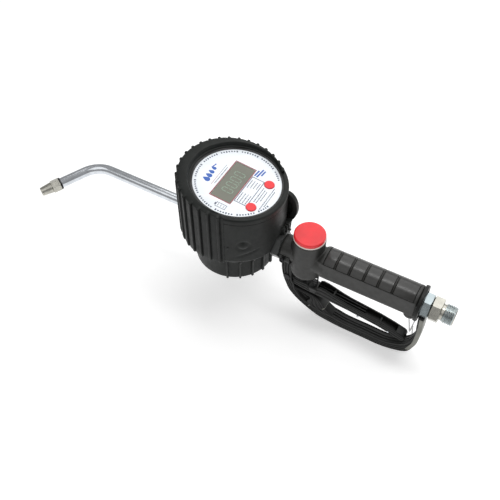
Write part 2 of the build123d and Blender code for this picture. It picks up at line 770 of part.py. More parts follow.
# ---- measuring chamber --------------------------------------------------------------------------
pressure_angle = math.radians(20.0)
backlash = 0.12
with BuildPart() as meter_housing:
    with BuildSketch(level(meter_x, 0, housing_bottom)):
        Circle(housing_r)
    extrude(amount=housing_top - housing_bottom)
    fillet(meter_housing.edges().group_by(Axis.Z)[-1], 2.0)
    with BuildSketch(across(meter_x)):
        Circle(meter_boss_r)
    extrude(amount=housing_r + meter_boss_reach)
    with BuildSketch(across(meter_x)):
        Circle(outlet_boss_r)
    extrude(amount=-housing_r - outlet_boss_length)
    with BuildSketch(level(meter_x, 0, chamber_bottom)):
        with Locations((0, -gear_offset), (0, gear_offset)):
            Circle(pocket_r)
    extrude(amount=chamber_top - chamber_bottom, mode=Mode.SUBTRACT)
    with BuildSketch(level(meter_x, 0, housing_bottom)):
        Circle(spigot_seat_r + assembly_gap)
    extrude(amount=chamber_bottom - housing_bottom, mode=Mode.SUBTRACT)
    with BuildSketch(level(meter_x, 0, chamber_top)):
        with Locations((0, -gear_offset), (0, gear_offset)):
            Circle(shaft_r)
    extrude(amount=shaft_seat, mode=Mode.SUBTRACT)
    with BuildSketch(across(meter_x + gear_module)):
        Circle(port_r)
    extrude(amount=housing_r + meter_boss_reach, mode=Mode.SUBTRACT)
    with BuildSketch(across(meter_x - gear_module)):
        Circle(tube_bore_r)
    extrude(amount=-housing_r, mode=Mode.SUBTRACT)
    with BuildSketch(across(outlet_x)):
        Circle(tube_r + 0.02)
    extrude(amount=outlet_boss_length + 2.0, mode=Mode.SUBTRACT)
    with BuildSketch(level(meter_x, 0, housing_bottom)):
        with PolarLocations(screw_circle_r, cover_screw_count, start_angle=30.0):
            Circle(cover_screw_r + running_gap)
    extrude(amount=cover_screw_length - cover_thickness + 2.0, mode=Mode.SUBTRACT)
    with BuildSketch(level(meter_x, 0, housing_top)):
        with PolarLocations(case_screw_circle_r, 4, start_angle=45.0):
            Circle(case_screw_r)
    extrude(amount=chamber_top - housing_top + 1.0, mode=Mode.SUBTRACT)
meter_housing.part.label = "meter_housing"
export_step(meter_housing.part, "parts/meter_housing.step")

with BuildPart() as chamber_cover:
    with BuildSketch(level(meter_x, 0, housing_bottom - cover_thickness)):
        Circle(housing_r)
        with PolarLocations(screw_circle_r, cover_screw_count, start_angle=30.0):
            Circle(cover_screw_r + body_gap, mode=Mode.SUBTRACT)
    extrude(amount=cover_thickness)
    with BuildSketch(level(meter_x, 0, housing_bottom)):
        Circle(spigot_seat_r)
    extrude(amount=chamber_bottom - housing_bottom)
    with BuildSketch(level(meter_x, 0, chamber_bottom - cover_seal_drop)):
        Circle(spigot_seat_r + 1.0)
        Circle(spigot_seat_r - 2 * cover_seal_r, mode=Mode.SUBTRACT)
    extrude(amount=2 * cover_seal_r + 0.3, mode=Mode.SUBTRACT)
    with BuildSketch(level(meter_x, 0, chamber_bottom)):
        with Locations((0, -gear_offset), (0, gear_offset)):
            Circle(shaft_r)
    extrude(amount=-shaft_seat, mode=Mode.SUBTRACT)
    with BuildSketch(level(meter_x, 0, housing_bottom - cover_thickness)):
        with PolarLocations(screw_circle_r, cover_screw_count, start_angle=30.0):
            Circle(cover_head_r + 2 * assembly_gap)
    extrude(amount=cover_head_depth, mode=Mode.SUBTRACT)
chamber_cover.part.label = "chamber_cover"
export_step(chamber_cover.part, "parts/chamber_cover.step")

cover_seal_z = chamber_bottom - cover_seal_drop + cover_seal_r + 0.15
with BuildPart() as cover_seal:
    with BuildSketch(Plane(origin=(meter_x, 0, 0), x_dir=(1, 0, 0), z_dir=(0, -1, 0))):
        with Locations((spigot_seat_r - cover_seal_r + 0.05, cover_seal_z)):
            Circle(cover_seal_r)
    revolve(axis=Axis((meter_x, 0, 0), (0, 0, 1)))
cover_seal.part.label = "cover_seal"
export_step(cover_seal.part, "parts/cover_seal.step")

with BuildPart() as cover_screws:
    with BuildSketch(level(meter_x, 0, housing_bottom - cover_thickness)):
        with PolarLocations(screw_circle_r, cover_screw_count, start_angle=30.0):
            Circle(cover_head_r)
    extrude(amount=cover_head_depth)
    with BuildSketch(level(meter_x, 0, housing_bottom - cover_thickness)):
        with PolarLocations(screw_circle_r, cover_screw_count, start_angle=30.0):
            Circle(cover_screw_r)
    extrude(amount=cover_screw_length)
    with BuildSketch(level(meter_x, 0, housing_bottom - cover_thickness)):
        with PolarLocations(screw_circle_r, cover_screw_count, start_angle=30.0):
            RegularPolygon(cover_key_af / 2, 6, major_radius=False)
    extrude(amount=0.6 * cover_head_depth, mode=Mode.SUBTRACT)
cover_screws.part.label = "cover_screws"
export_step(cover_screws.part, "parts/cover_screws.step")


def involute_point(radius, centre_angle, flank):
    """Point at radius on one flank of the tooth that is centred on centre_angle."""
    base_r = gear_offset * math.cos(pressure_angle)
    pitch_half = (math.pi * gear_module / 2 - backlash) / 2 / gear_offset
    spread = math.tan(pressure_angle) - pressure_angle
    local = math.acos(min(1.0, base_r / radius))
    half = pitch_half + spread - (math.tan(local) - local)
    angle = centre_angle + flank * half
    return (radius * math.cos(angle), radius * math.sin(angle))


def gear_outline(start_angle):
    """Points round a spur gear, four up and four down each tooth."""
    radii = [gear_root_r, gear_offset, gear_offset + 0.5 * gear_module, gear_tip_r]
    points = []
    for tooth in range(gear_teeth):
        middle = start_angle + 2 * math.pi * tooth / gear_teeth
        points += [involute_point(radius, middle, -1) for radius in radii]
        points += [involute_point(radius, middle, 1) for radius in reversed(radii)]
    return points


gear_bottom = chamber_bottom + chamber_gap - 0.05
# A tooth of the left gear points at a gap of the right one
left_start = math.pi / 2
right_start = -math.pi / 2 + math.pi / gear_teeth
with BuildPart() as measuring_gear_left:
    with BuildSketch(level(meter_x, -gear_offset, gear_bottom)):
        with BuildLine():
            Polyline(*gear_outline(left_start), close=True)
        make_face()
        Circle(shaft_r + running_gap, mode=Mode.SUBTRACT)
    extrude(amount=gear_height)
measuring_gear_left.part.label = "measuring_gear_left"
export_step(measuring_gear_left.part, "parts/measuring_gear_left.step")

with BuildPart() as measuring_gear_right:
    with BuildSketch(level(meter_x, gear_offset, gear_bottom)):
        with BuildLine():
            Polyline(*gear_outline(right_start), close=True)
        make_face()
        Circle(shaft_r + running_gap, mode=Mode.SUBTRACT)
    extrude(amount=gear_height)
    with BuildSketch(level(meter_x, gear_offset, gear_bottom + gear_height)):
        with PolarLocations(magnet_circle_r, 4):
            Circle(magnet_r)
    extrude(amount=-magnet_length, mode=Mode.SUBTRACT)
measuring_gear_right.part.label = "measuring_gear_right"
export_step(measuring_gear_right.part, "parts/measuring_gear_right.step")

with BuildPart() as gear_magnets:
    with BuildSketch(level(meter_x, gear_offset, gear_bottom + gear_height)):
        with PolarLocations(magnet_circle_r, 4):
            Circle(magnet_r)
    extrude(amount=-magnet_length)
gear_magnets.part.label = "gear_magnets"
export_step(gear_magnets.part, "parts/gear_magnets.step")

with BuildPart() as gear_shafts:
    with BuildSketch(level(meter_x, 0, chamber_bottom - shaft_seat + 0.1)):
        with Locations((0, -gear_offset), (0, gear_offset)):
            Circle(shaft_r)
    extrude(amount=chamber_top - chamber_bottom + 2 * shaft_seat - 0.2)
gear_shafts.part.label = "gear_shafts"
export_step(gear_shafts.part, "parts/gear_shafts.step")

# ---- counter electronics ------------------------------------------------------------------------
board_drop = dial_thickness + lcd_thickness + board_thickness
post_circle_r = case_inner_r - case_post_inset
with BuildPart() as counter_case:
    with BuildSketch(level(meter_x, 0, housing_top)):
        Circle(case_r)
    extrude(amount=2 * dial_height)
    with BuildSketch(level(meter_x, 0, housing_top + case_floor)):
        Circle(case_inner_r)
    extrude(amount=2 * dial_height, mode=Mode.SUBTRACT)
    with BuildSketch(level(meter_x, 0, housing_top)):
        with PolarLocations(post_circle_r, 3, start_angle=0.0):
            Circle(case_post_r)
    extrude(amount=dial_height - housing_top)
    split(bisect_by=dial_plane(case_rim), keep=Keep.BOTTOM)
    with BuildSketch(dial_plane(-board_drop)):
        Circle(case_inner_r - 0.01)
    extrude(amount=2 * board_drop, mode=Mode.SUBTRACT)
    with BuildSketch(dial_plane(-dial_thickness)):
        Circle(dial_r + dial_clearance)
    extrude(amount=2 * board_drop, mode=Mode.SUBTRACT)
    with BuildSketch(level(meter_x, 0, housing_top)):
        with PolarLocations(case_screw_circle_r, 4, start_angle=45.0):
            Circle(case_screw_r + 2 * assembly_gap)
    extrude(amount=case_floor, mode=Mode.SUBTRACT)
counter_case.part.label = "counter_case"
export_step(counter_case.part, "parts/counter_case.step")

with BuildPart() as case_screws:
    with BuildSketch(level(meter_x, 0, housing_top + case_floor)):
        with PolarLocations(case_screw_circle_r, 4, start_angle=45.0):
            Circle(case_head_r)
    extrude(amount=case_head_thickness)
    with BuildSketch(level(meter_x, 0, housing_top + case_floor)):
        with PolarLocations(case_screw_circle_r, 4, start_angle=45.0):
            Circle(case_screw_r)
    extrude(amount=-case_floor + chamber_top - housing_top + 1.0)
case_screws.part.label = "case_screws"
export_step(case_screws.part, "parts/case_screws.step")

with BuildPart() as pulse_sensor:
    with BuildSketch(level(meter_x, gear_offset + magnet_circle_r, housing_top + case_floor)):
        Rectangle(8.0, 6.0)
    extrude(amount=2.5)
pulse_sensor.part.label = "pulse_sensor"
export_step(pulse_sensor.part, "parts/pulse_sensor.step")

button_places = [reset_place, function_place]
with BuildPart() as dial_face:
    with BuildSketch(dial_plane(-dial_thickness)):
        Circle(dial_r)
        with Locations((window_x, window_y)):
            RectangleRounded(window_width, window_length, 1.0, mode=Mode.SUBTRACT)
        with Locations(*button_places):
            Circle(button_r + 0.3, mode=Mode.SUBTRACT)
    extrude(amount=dial_thickness)
dial_face.part.label = "dial_face"
export_step(dial_face.part, "parts/dial_face.step")

with BuildPart() as lcd_module:
    with BuildSketch(dial_plane(-dial_thickness)):
        with Locations((window_x, window_y)):
            Rectangle(window_width + 5.0, window_length + 6.0)
    extrude(amount=-lcd_thickness)
    with BuildSketch(dial_plane(-dial_thickness)):
        with Locations((window_x, window_y)):
            RectangleRounded(window_width - 0.2, window_length - 0.2, 0.9)
    extrude(amount=dial_thickness - 0.4)
lcd_module.part.label = "lcd_module"
export_step(lcd_module.part, "parts/lcd_module.step")

with BuildPart() as circuit_board:
    with BuildSketch(dial_plane(-board_drop)):
        Circle(board_r)
    extrude(amount=board_thickness)
circuit_board.part.label = "circuit_board"
export_step(circuit_board.part, "parts/circuit_board.step")

stem_drop = dial_thickness + lcd_thickness - switch_height - button_travel - assembly_gap
with BuildPart() as button_switches:
    with BuildSketch(dial_plane(-dial_thickness - lcd_thickness)):
        with Locations(*button_places):
            Rectangle(switch_size, switch_size)
    extrude(amount=switch_height)
button_switches.part.label = "button_switches"
export_step(button_switches.part, "parts/button_switches.step")

for button_name, place in zip(("reset_button", "function_button"), button_places):
    with BuildPart() as button:
        with BuildSketch(dial_plane(-button_depth, *place)):
            Circle(button_r)
        extrude(amount=button_depth + button_proud)
        fillet(button.edges().sort_by(Axis.Z)[-1], 0.5)
        with BuildSketch(dial_plane(-button_depth, *place)):
            Circle(button_r + button_collar)
        extrude(amount=button_collar_thickness)
        with BuildSketch(dial_plane(-button_depth, *place)):
            Circle(button_stem_r)
        extrude(amount=button_depth - stem_drop)
    button.part.label = button_name
    export_step(button.part, f"parts/{button_name}.step")

holder_width = 4 * battery_r + 2 * holder_wall
battery_z = housing_top + case_floor + holder_floor + battery_r
with BuildPart() as battery_holder:
    with BuildSketch(level(meter_x + holder_x, holder_y, housing_top + case_floor)):
        Rectangle(holder_width, battery_length + 2 * holder_wall + 1.0)
    extrude(amount=holder_floor)
    with BuildSketch(level(meter_x + holder_x, holder_y, housing_top + case_floor)):
        Rectangle(holder_width, battery_length + 2 * holder_wall + 1.0)
        Rectangle(holder_width, battery_length + 1.0, mode=Mode.SUBTRACT)
    extrude(amount=2 * battery_r)
battery_holder.part.label = "battery_holder"
export_step(battery_holder.part, "parts/battery_holder.step")

with BuildPart() as batteries:
    with BuildSketch(Plane(origin=(meter_x + holder_x, holder_y + battery_length / 2, battery_z),
                           x_dir=(1, 0, 0), z_dir=(0, -1, 0))):
        with Locations((-battery_r - 0.8, 0), (battery_r + 0.8, 0)):
            Circle(battery_r)
    extrude(amount=battery_length)
batteries.part.label = "batteries"
export_step(batteries.part, "parts/batteries.step")

# ---- rubber boot --------------------------------------------------------------------------------
sky = 2 * dial_height
cone_bottom = -12.0
hood_x = meter_x + hood_shift
hood_slant = 0.21
dial_axis_plane = Plane(origin=dial_plane(0, hood_shift).origin, x_dir=dial_plane().x_dir,
                        z_dir=-dial_plane().y_dir)


def hood_ray(degrees):
    """Point well outside the hood, at an angle round its centre."""
    return (2 * hood_r * math.cos(math.radians(degrees)), 2 * hood_r * math.sin(math.radians(degrees)))


# Ribbed hood, with a slanting lower edge and a sloping crown
hood_middle = (hood_start + hood_end) / 2 + 180
with BuildPart() as boot_hood:
    with BuildSketch(level(hood_x, 0, 2 * hood_bottom)):
        Circle(hood_r)
        with PolarLocations(hood_r, round(360 / rib_pitch)):
            Rectangle(2 * rib_height, rib_width)
        with BuildLine():
            Polyline((-hood_shift, 0), hood_ray(hood_end), hood_ray(hood_middle), hood_ray(hood_start),
                     close=True)
        make_face(mode=Mode.SUBTRACT)
    extrude(amount=2 * sky)
    split(bisect_by=Plane(origin=(meter_x - boot_upper_r, 0, hood_bottom + 1.0), z_dir=(-hood_slant, 0, 1)),
          keep=Keep.TOP)
    with BuildSketch(dial_axis_plane):
        with BuildLine():
            Polyline((hood_mouth_r, hood_height), (hood_r + rib_height, hood_edge_height),
                     (2 * hood_r, hood_edge_height), (2 * hood_r, 2 * sky), (0, 2 * sky), (0, hood_height),
                     close=True)
        make_face()
    revolve(axis=Axis(dial_axis_plane.origin, dial_plane().z_dir), mode=Mode.SUBTRACT)

with BuildPart() as boot_eye:
    with BuildSketch(beside(eye_y + eye_thickness / 2)):
        with Locations((meter_x + boot_upper_r - 4.4, eye_height)):
            Ellipse(eye_reach + 0.5, eye_half_length)
            Ellipse(eye_reach - 4.2, eye_half_length - 7.0, mode=Mode.SUBTRACT)
        with Locations((meter_x + 0.85 * boot_upper_r, eye_height)):
            Rectangle(boot_upper_r, boot_upper_r, align=(Align.MIN, Align.CENTER), mode=Mode.INTERSECT)
    extrude(amount=eye_thickness)

with BuildPart() as boot_hollow:
    with BuildSketch(level(meter_x, 0, housing_top - 11.0)):
        Circle(case_r + assembly_gap)
    extrude(amount=sky)
    split(bisect_by=dial_plane(case_rim + assembly_gap), keep=Keep.BOTTOM)
    with BuildSketch(dial_plane(-2.0)):
        Circle(boot_lip_r)
    extrude(amount=boot_lip + 2.0)
    with BuildSketch(dial_plane(boot_lip)):
        Circle(hood_mouth_r)
    extrude(amount=sky)
    with BuildSketch(level(meter_x, 0, boot_base + boot_floor)):
        Circle(housing_r + body_gap)
    extrude(amount=housing_top - boot_base - boot_floor)
    with BuildSketch(level(hood_x, 0, -15.2)):
        Circle(hood_r - hood_wall)
        with Locations((-hood_shift - 36.0, 0)):
            Rectangle(2 * hood_r, 2 * hood_r, align=(Align.MAX, Align.CENTER), mode=Mode.INTERSECT)
    extrude(amount=66.0)
    with BuildSketch(across(meter_x + 30.0)):
        Circle(coupling_af / 2 / math.cos(math.pi / 6) + nut_clearance)
    extrude(amount=60.0)
    with BuildSketch(across(meter_x)):
        Circle(tube_r + body_gap)
    extrude(amount=-2 * hood_r)

with BuildPart() as meter_boot:
    with BuildSketch(Plane(origin=(meter_x, 0, 0), x_dir=(1, 0, 0), z_dir=(0, -1, 0))):
        with BuildLine():
            Polyline((0, boot_base), (boot_lower_r - 2.5, boot_base), (boot_lower_r, boot_base + 2.5),
                     (boot_lower_r, cone_bottom), (boot_upper_r, boot_step), (boot_upper_r, sky), (0, sky),
                     close=True)
        make_face()
    revolve(axis=Axis((meter_x, 0, 0), (0, 0, 1)))
    split(bisect_by=dial_plane(boot_lip), keep=Keep.BOTTOM)
    with BuildSketch(level(meter_x, 0, boot_base)):
        with PolarLocations(boot_lower_r, fin_count, start_angle=-fin_spread / 2, angular_range=fin_spread,
                            endpoint=True):
            Rectangle(2.6, rib_width)
    extrude(amount=cone_bottom - boot_base + 6.0)
    add(boot_hood.part)
    add(boot_eye.part)
    add(boot_hollow.part, mode=Mode.SUBTRACT)
meter_boot.part.label = "meter_boot"
export_step(meter_boot.part, "parts/meter_boot.step")

# ---- spout --------------------------------------------------------------------------------------
with BuildPart() as outlet_nut:
    with BuildSketch(across(outlet_x + outlet_nut_lap)):
        RegularPolygon(outlet_nut_af / 2, 6, major_radius=False)
    extrude(amount=-outlet_nut_length)
    with BuildSketch(across(outlet_x + outlet_nut_lap)):
        Circle(outlet_boss_r + running_gap)
    extrude(amount=-9.2, mode=Mode.SUBTRACT)
    with BuildSketch(across(outlet_x)):
        Circle(tube_r + assembly_gap)
    extrude(amount=-outlet_nut_length, mode=Mode.SUBTRACT)
outlet_nut.part.label = "outlet_nut"
export_step(outlet_nut.part, "parts/outlet_nut.step")

with BuildPart() as tube_ferrule:
    with BuildSketch(across(outlet_x)):
        Circle(outlet_boss_r - 1.0)
        Circle(tube_r + 0.02, mode=Mode.SUBTRACT)
    extrude(amount=-3.0)
    chamfer(tube_ferrule.faces().sort_by(Axis.X)[0].outer_wire().edges(), 1.5)
tube_ferrule.part.label = "tube_ferrule"
export_step(tube_ferrule.part, "parts/tube_ferrule.step")

turn = math.radians(bend_angle)
roll = math.radians(spout_roll)
spout_direction = Vector(-math.cos(turn), -math.sin(turn) * math.cos(roll),
                         -math.sin(turn) * math.sin(roll))
bend_setback = bend_r * math.tan(turn / 2)
corner = Vector(outlet_x - tube_straight - bend_setback, 0, 0)


def along_spout(distance):
    """Plane across the spout beyond its bend, at a distance past the tube's end."""
    start = corner + spout_direction * (bend_setback + tube_end + distance)
    return Plane(origin=start, z_dir=spout_direction)


with BuildPart() as spout_tube:
    with BuildLine() as tube_path:
        FilletPolyline((outlet_x + outlet_boss_length, 0, 0), tuple(corner), tuple(along_spout(0).origin),
                       radius=bend_r)
    with BuildSketch(across(outlet_x + outlet_boss_length)):
        Circle(tube_r)
        Circle(tube_bore_r, mode=Mode.SUBTRACT)
    sweep()
spout_tube.part.label = "spout_tube"
export_step(spout_tube.part, "parts/spout_tube.step")

with BuildPart() as nozzle_ring:
    with BuildSketch(along_spout(0)):
        Circle(ring_r)
        Circle(tube_bore_r, mode=Mode.SUBTRACT)
    extrude(amount=ring_length)
nozzle_ring.part.label = "nozzle_ring"
export_step(nozzle_ring.part, "parts/nozzle_ring.step")

nozzle_seat_at = ring_length + 4.7
nozzle_joint_at = ring_length + nozzle_hex_length
with BuildPart() as nozzle_body:
    with BuildSketch(along_spout(ring_length)):
        RegularPolygon(nozzle_af / 2, 6, major_radius=False)
    extrude(amount=nozzle_hex_length)
    with BuildSketch(along_spout(-nozzle_stub_length)):
        Circle(tube_bore_r - 0.02)
    extrude(amount=nozzle_stub_length + ring_length)
    with BuildSketch(along_spout(-nozzle_stub_length)):
        Circle(nozzle_bore_r)
    extrude(amount=nozzle_stub_length + nozzle_joint_at, mode=Mode.SUBTRACT)
    with BuildSketch(along_spout(nozzle_seat_at)):
        Circle(nozzle_chamber_r)
    extrude(amount=nozzle_hex_length, mode=Mode.SUBTRACT)
nozzle_body.part.label = "nozzle_body"
export_step(nozzle_body.part, "parts/nozzle_body.step")

nozzle_shoulder_at = nozzle_joint_at + 6.7
with BuildPart() as nozzle_tip:
    with BuildSketch(along_spout(nozzle_joint_at)):
        Circle(nozzle_af / 2 - 0.2)
    with BuildSketch(along_spout(nozzle_joint_at + nozzle_tip_length)):
        Circle(nozzle_tip_r)
    loft()
    with BuildSketch(along_spout(nozzle_joint_at)):
        Circle(nozzle_chamber_r)
    extrude(amount=nozzle_shoulder_at - nozzle_joint_at, mode=Mode.SUBTRACT)
    with BuildSketch(along_spout(nozzle_joint_at)):
        Circle(nozzle_bore_r)
    extrude(amount=nozzle_tip_length, mode=Mode.SUBTRACT)
nozzle_tip.part.label = "nozzle_tip"
export_step(nozzle_tip.part, "parts/nozzle_tip.step")

nozzle_poppet_r = nozzle_chamber_r - 0.5
nozzle_poppet_length = 4.0
with BuildPart() as nozzle_poppet:
    with BuildSketch(along_spout(nozzle_seat_at)):
        Circle(nozzle_poppet_r)
    extrude(amount=nozzle_poppet_length)
    with BuildSketch(along_spout(nozzle_seat_at + nozzle_poppet_length)):
        Circle(1.3)
    extrude(amount=3.0)
nozzle_poppet.part.label = "nozzle_poppet"
export_step(nozzle_poppet.part, "parts/nozzle_poppet.step")

with BuildPart() as nozzle_spring:
    with BuildSketch(along_spout(nozzle_seat_at + nozzle_poppet_length)):
        Circle(nozzle_poppet_r - 0.1)
        Circle(nozzle_bore_r + 0.1, mode=Mode.SUBTRACT)
    extrude(amount=nozzle_shoulder_at - nozzle_seat_at - nozzle_poppet_length)
nozzle_spring.part.label = "nozzle_spring"
export_step(nozzle_spring.part, "parts/nozzle_spring.step")
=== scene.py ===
"""Oil control gun with digital meter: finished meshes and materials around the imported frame."""

import json
import math
import random

import bmesh
import bpy
from bpy.props import FloatProperty, FloatVectorProperty, IntProperty, PointerProperty
from mathutils import Matrix, Vector


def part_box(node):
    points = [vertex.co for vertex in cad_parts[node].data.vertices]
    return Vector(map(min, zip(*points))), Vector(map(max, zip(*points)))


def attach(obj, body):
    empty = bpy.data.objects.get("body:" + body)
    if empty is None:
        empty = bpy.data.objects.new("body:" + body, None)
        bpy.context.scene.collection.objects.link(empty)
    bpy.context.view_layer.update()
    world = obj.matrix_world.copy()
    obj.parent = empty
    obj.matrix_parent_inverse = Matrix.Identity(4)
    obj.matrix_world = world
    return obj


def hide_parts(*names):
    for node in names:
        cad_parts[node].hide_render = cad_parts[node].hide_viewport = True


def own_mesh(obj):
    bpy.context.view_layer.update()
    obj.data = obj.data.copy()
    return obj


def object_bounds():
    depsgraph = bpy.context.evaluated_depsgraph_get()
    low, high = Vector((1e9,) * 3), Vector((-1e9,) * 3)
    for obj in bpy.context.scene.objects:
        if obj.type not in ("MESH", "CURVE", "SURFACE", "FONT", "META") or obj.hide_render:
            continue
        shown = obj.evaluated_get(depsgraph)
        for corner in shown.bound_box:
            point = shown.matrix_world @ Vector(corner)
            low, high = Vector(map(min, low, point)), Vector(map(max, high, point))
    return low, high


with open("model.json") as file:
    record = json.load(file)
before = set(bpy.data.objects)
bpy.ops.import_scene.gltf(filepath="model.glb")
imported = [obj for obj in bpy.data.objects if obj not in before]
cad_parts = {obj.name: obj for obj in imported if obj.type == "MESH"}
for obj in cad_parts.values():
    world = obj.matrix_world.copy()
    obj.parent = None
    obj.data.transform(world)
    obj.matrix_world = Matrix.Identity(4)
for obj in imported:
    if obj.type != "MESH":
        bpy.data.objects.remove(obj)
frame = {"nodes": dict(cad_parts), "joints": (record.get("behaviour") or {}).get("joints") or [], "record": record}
cad_low, cad_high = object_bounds()

bl_info = {
    "name": "Oil control gun",
    "version": (1, 0, 0),
    "blender": (4, 5, 0),
    "location": "View3D > Sidebar > Oil gun",
    "description": "Builds the rubber boot, dial, handle, trigger, fittings and spout of an oil control gun",
    "category": "Mesh",
}

# Meshes are shaped in millimetres, and made metres when they are finished.
MM = 0.001
MOUNTS = {mount["name"]: mount for mount in frame["record"]["mounts"]}
JOINTS = {joint["name"]: joint for joint in frame["joints"]}
X_AXIS = Vector((1, 0, 0))
Y_AXIS = Vector((0, 1, 0))
Z_AXIS = Vector((0, 0, 1))
ROUND_STEPS = 96
SHARP_ANGLE = math.radians(32)


def span(node):
    """Lowest and highest corner of a CAD node, in millimetres."""
    low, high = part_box(node)
    return low / MM, high / MM


METER_X = MOUNTS["boot_base"]["pos_m"][0] / MM
BOOT_BASE = MOUNTS["boot_base"]["pos_m"][2] / MM
THREAD_R = MOUNTS["inlet_thread"]["dims"]["r_mm"]
THREAD_LENGTH = MOUNTS["inlet_thread"]["dims"]["length_mm"]
DIAL_NORMAL = -Vector(JOINTS["reset_press"]["axis"]).normalized()
DIAL_DOWN = Vector((DIAL_NORMAL.z, 0, -DIAL_NORMAL.x))
DIAL_SLOPE = DIAL_NORMAL.x / DIAL_NORMAL.z
DIAL_Z = (span("dial_face")[0].z + span("dial_face")[1].z + 1.2 * DIAL_NORMAL.z) / 2
DIAL_R = (span("dial_face")[1].y - span("dial_face")[0].y) / 2
CASE_R = (span("counter_case")[1].y - span("counter_case")[0].y) / 2
HOUSING_R = (span("chamber_cover")[1].y - span("chamber_cover")[0].y) / 2
TURRET_X = (span("valve_cap")[0].x + span("valve_cap")[1].x) / 2
TURRET_TOP = span("cap_ring")[0].z
TURRET_R = (span("valve_cap")[1].y - span("valve_cap")[0].y) / 2 + 0.7
GRIP_FRONT = span("grip_panel")[0].x - 4.1
GRIP_END = span("handle_body")[1].x
GRIP_R = span("grip_panel")[1].z
PIVOT = Vector(JOINTS["trigger_pull"]["pos_m"]) / MM
LATCH = Vector(JOINTS["latch_swing"]["pos_m"]) / MM
NECK_X = span("coupling_nut")[1].x + 0.1
RING_X = GRIP_END + 4.0
SPOUT_DIRECTION = Vector(JOINTS["nozzle_open"]["axis"]).normalized()


# ---- finishes ------------------------------------------------------------------------------------
class FinishColours(bpy.types.PropertyGroup):
    """Colours of the moulded, coated and plated surfaces."""

    rubber: FloatVectorProperty(
        name="Rubber", description="Boot round the meter", subtype="COLOR", size=3,
        min=0, max=1, default=(0.010, 0.0115, 0.0105))
    plastic: FloatVectorProperty(
        name="Black plastic", description="Trigger lever and guard", subtype="COLOR", size=3,
        min=0, max=1, default=(0.009, 0.0095, 0.009))
    coating: FloatVectorProperty(
        name="Handle coating", description="Cast handle", subtype="COLOR", size=3,
        min=0, max=1, default=(0.016, 0.016, 0.0142))
    grip: FloatVectorProperty(
        name="Grip panel", description="Inlaid panel on the grip", subtype="COLOR", size=3,
        min=0, max=1, default=(0.017, 0.0165, 0.015))
    red: FloatVectorProperty(
        name="Red", description="Valve cap and buttons", subtype="COLOR", size=3,
        min=0, max=1, default=(0.80, 0.018, 0.026))
    dial: FloatVectorProperty(
        name="Dial film", description="Printed film on the dial", subtype="COLOR", size=3,
        min=0, max=1, default=(0.86, 0.90, 0.94))
    display: FloatVectorProperty(
        name="Display", description="Liquid crystal window", subtype="COLOR", size=3,
        min=0, max=1, default=(0.150, 0.155, 0.120))
    zinc: FloatVectorProperty(
        name="Zinc plate", description="Gland and plugs", subtype="COLOR", size=3,
        min=0, max=1, default=(0.44, 0.50, 0.52))
    nickel: FloatVectorProperty(
        name="Nickel plate", description="Swivel nipple and nozzle", subtype="COLOR", size=3,
        min=0, max=1, default=(0.50, 0.49, 0.44))
    chrome: FloatVectorProperty(
        name="Bright plate", description="Spout tube", subtype="COLOR", size=3,
        min=0, max=1, default=(0.72, 0.75, 0.79))


def new_material(name):
    """Material with its shader, object coordinates and output, and short ways to add to it."""
    material = bpy.data.materials.new(name)
    material.use_nodes = True
    nodes = material.node_tree.nodes
    nodes.clear()
    shader = nodes.new("ShaderNodeBsdfPrincipled")
    output = nodes.new("ShaderNodeOutputMaterial")
    material.node_tree.links.new(shader.outputs["BSDF"], output.inputs["Surface"])
    place = nodes.new("ShaderNodeTexCoord")
    return material, shader, place.outputs["Object"]


def noise(material, place, scale, detail=4.0, stretch=(1, 1, 1)):
    """Noise over the piece, with scale in lumps per metre."""
    nodes, links = material.node_tree.nodes, material.node_tree.links
    mapping = nodes.new("ShaderNodeMapping")
    mapping.inputs["Scale"].default_value = stretch
    links.new(place, mapping.inputs["Vector"])
    texture = nodes.new("ShaderNodeTexNoise")
    texture.inputs["Scale"].default_value = scale
    texture.inputs["Detail"].default_value = detail
    links.new(mapping.outputs["Vector"], texture.inputs["Vector"])
    return texture.outputs["Fac"]


def spread(material, value, low, high, start=0.3, end=0.7):
    """Value from the noise, remapped between low and high."""
    ranged = material.node_tree.nodes.new("ShaderNodeMapRange")
    ranged.inputs["From Min"].default_value = start
    ranged.inputs["From Max"].default_value = end
    ranged.inputs["To Min"].default_value = low
    ranged.inputs["To Max"].default_value = high
    material.node_tree.links.new(value, ranged.inputs["Value"])
    return ranged.outputs["Result"]


def tones(material, shader, value, colour, darker, lighter):
    """Colour that drifts between a darker and a lighter tone of itself."""
    ramp = material.node_tree.nodes.new("ShaderNodeValToRGB")
    ramp.color_ramp.elements[0].position = 0.3
    ramp.color_ramp.elements[1].position = 0.7
    ramp.color_ramp.elements[0].color = (*[channel * darker for channel in colour], 1)
    ramp.color_ramp.elements[1].color = (*[min(1.0, channel * lighter) for channel in colour], 1)
    material.node_tree.links.new(value, ramp.inputs["Fac"])
    material.node_tree.links.new(ramp.outputs["Color"], shader.inputs["Base Color"])


def relief(material, shader, value, depth, strength=1.0, under=None):
    """Bump of a depth in millimetres, laid over another bump if one is given."""
    bump = material.node_tree.nodes.new("ShaderNodeBump")
    bump.inputs["Strength"].default_value = strength
    bump.inputs["Distance"].default_value = depth * MM
    material.node_tree.links.new(value, bump.inputs["Height"])
    if under is not None:
        material.node_tree.links.new(under, bump.inputs["Normal"])
    material.node_tree.links.new(bump.outputs["Normal"], shader.inputs["Normal"])
    return bump.outputs["Normal"]


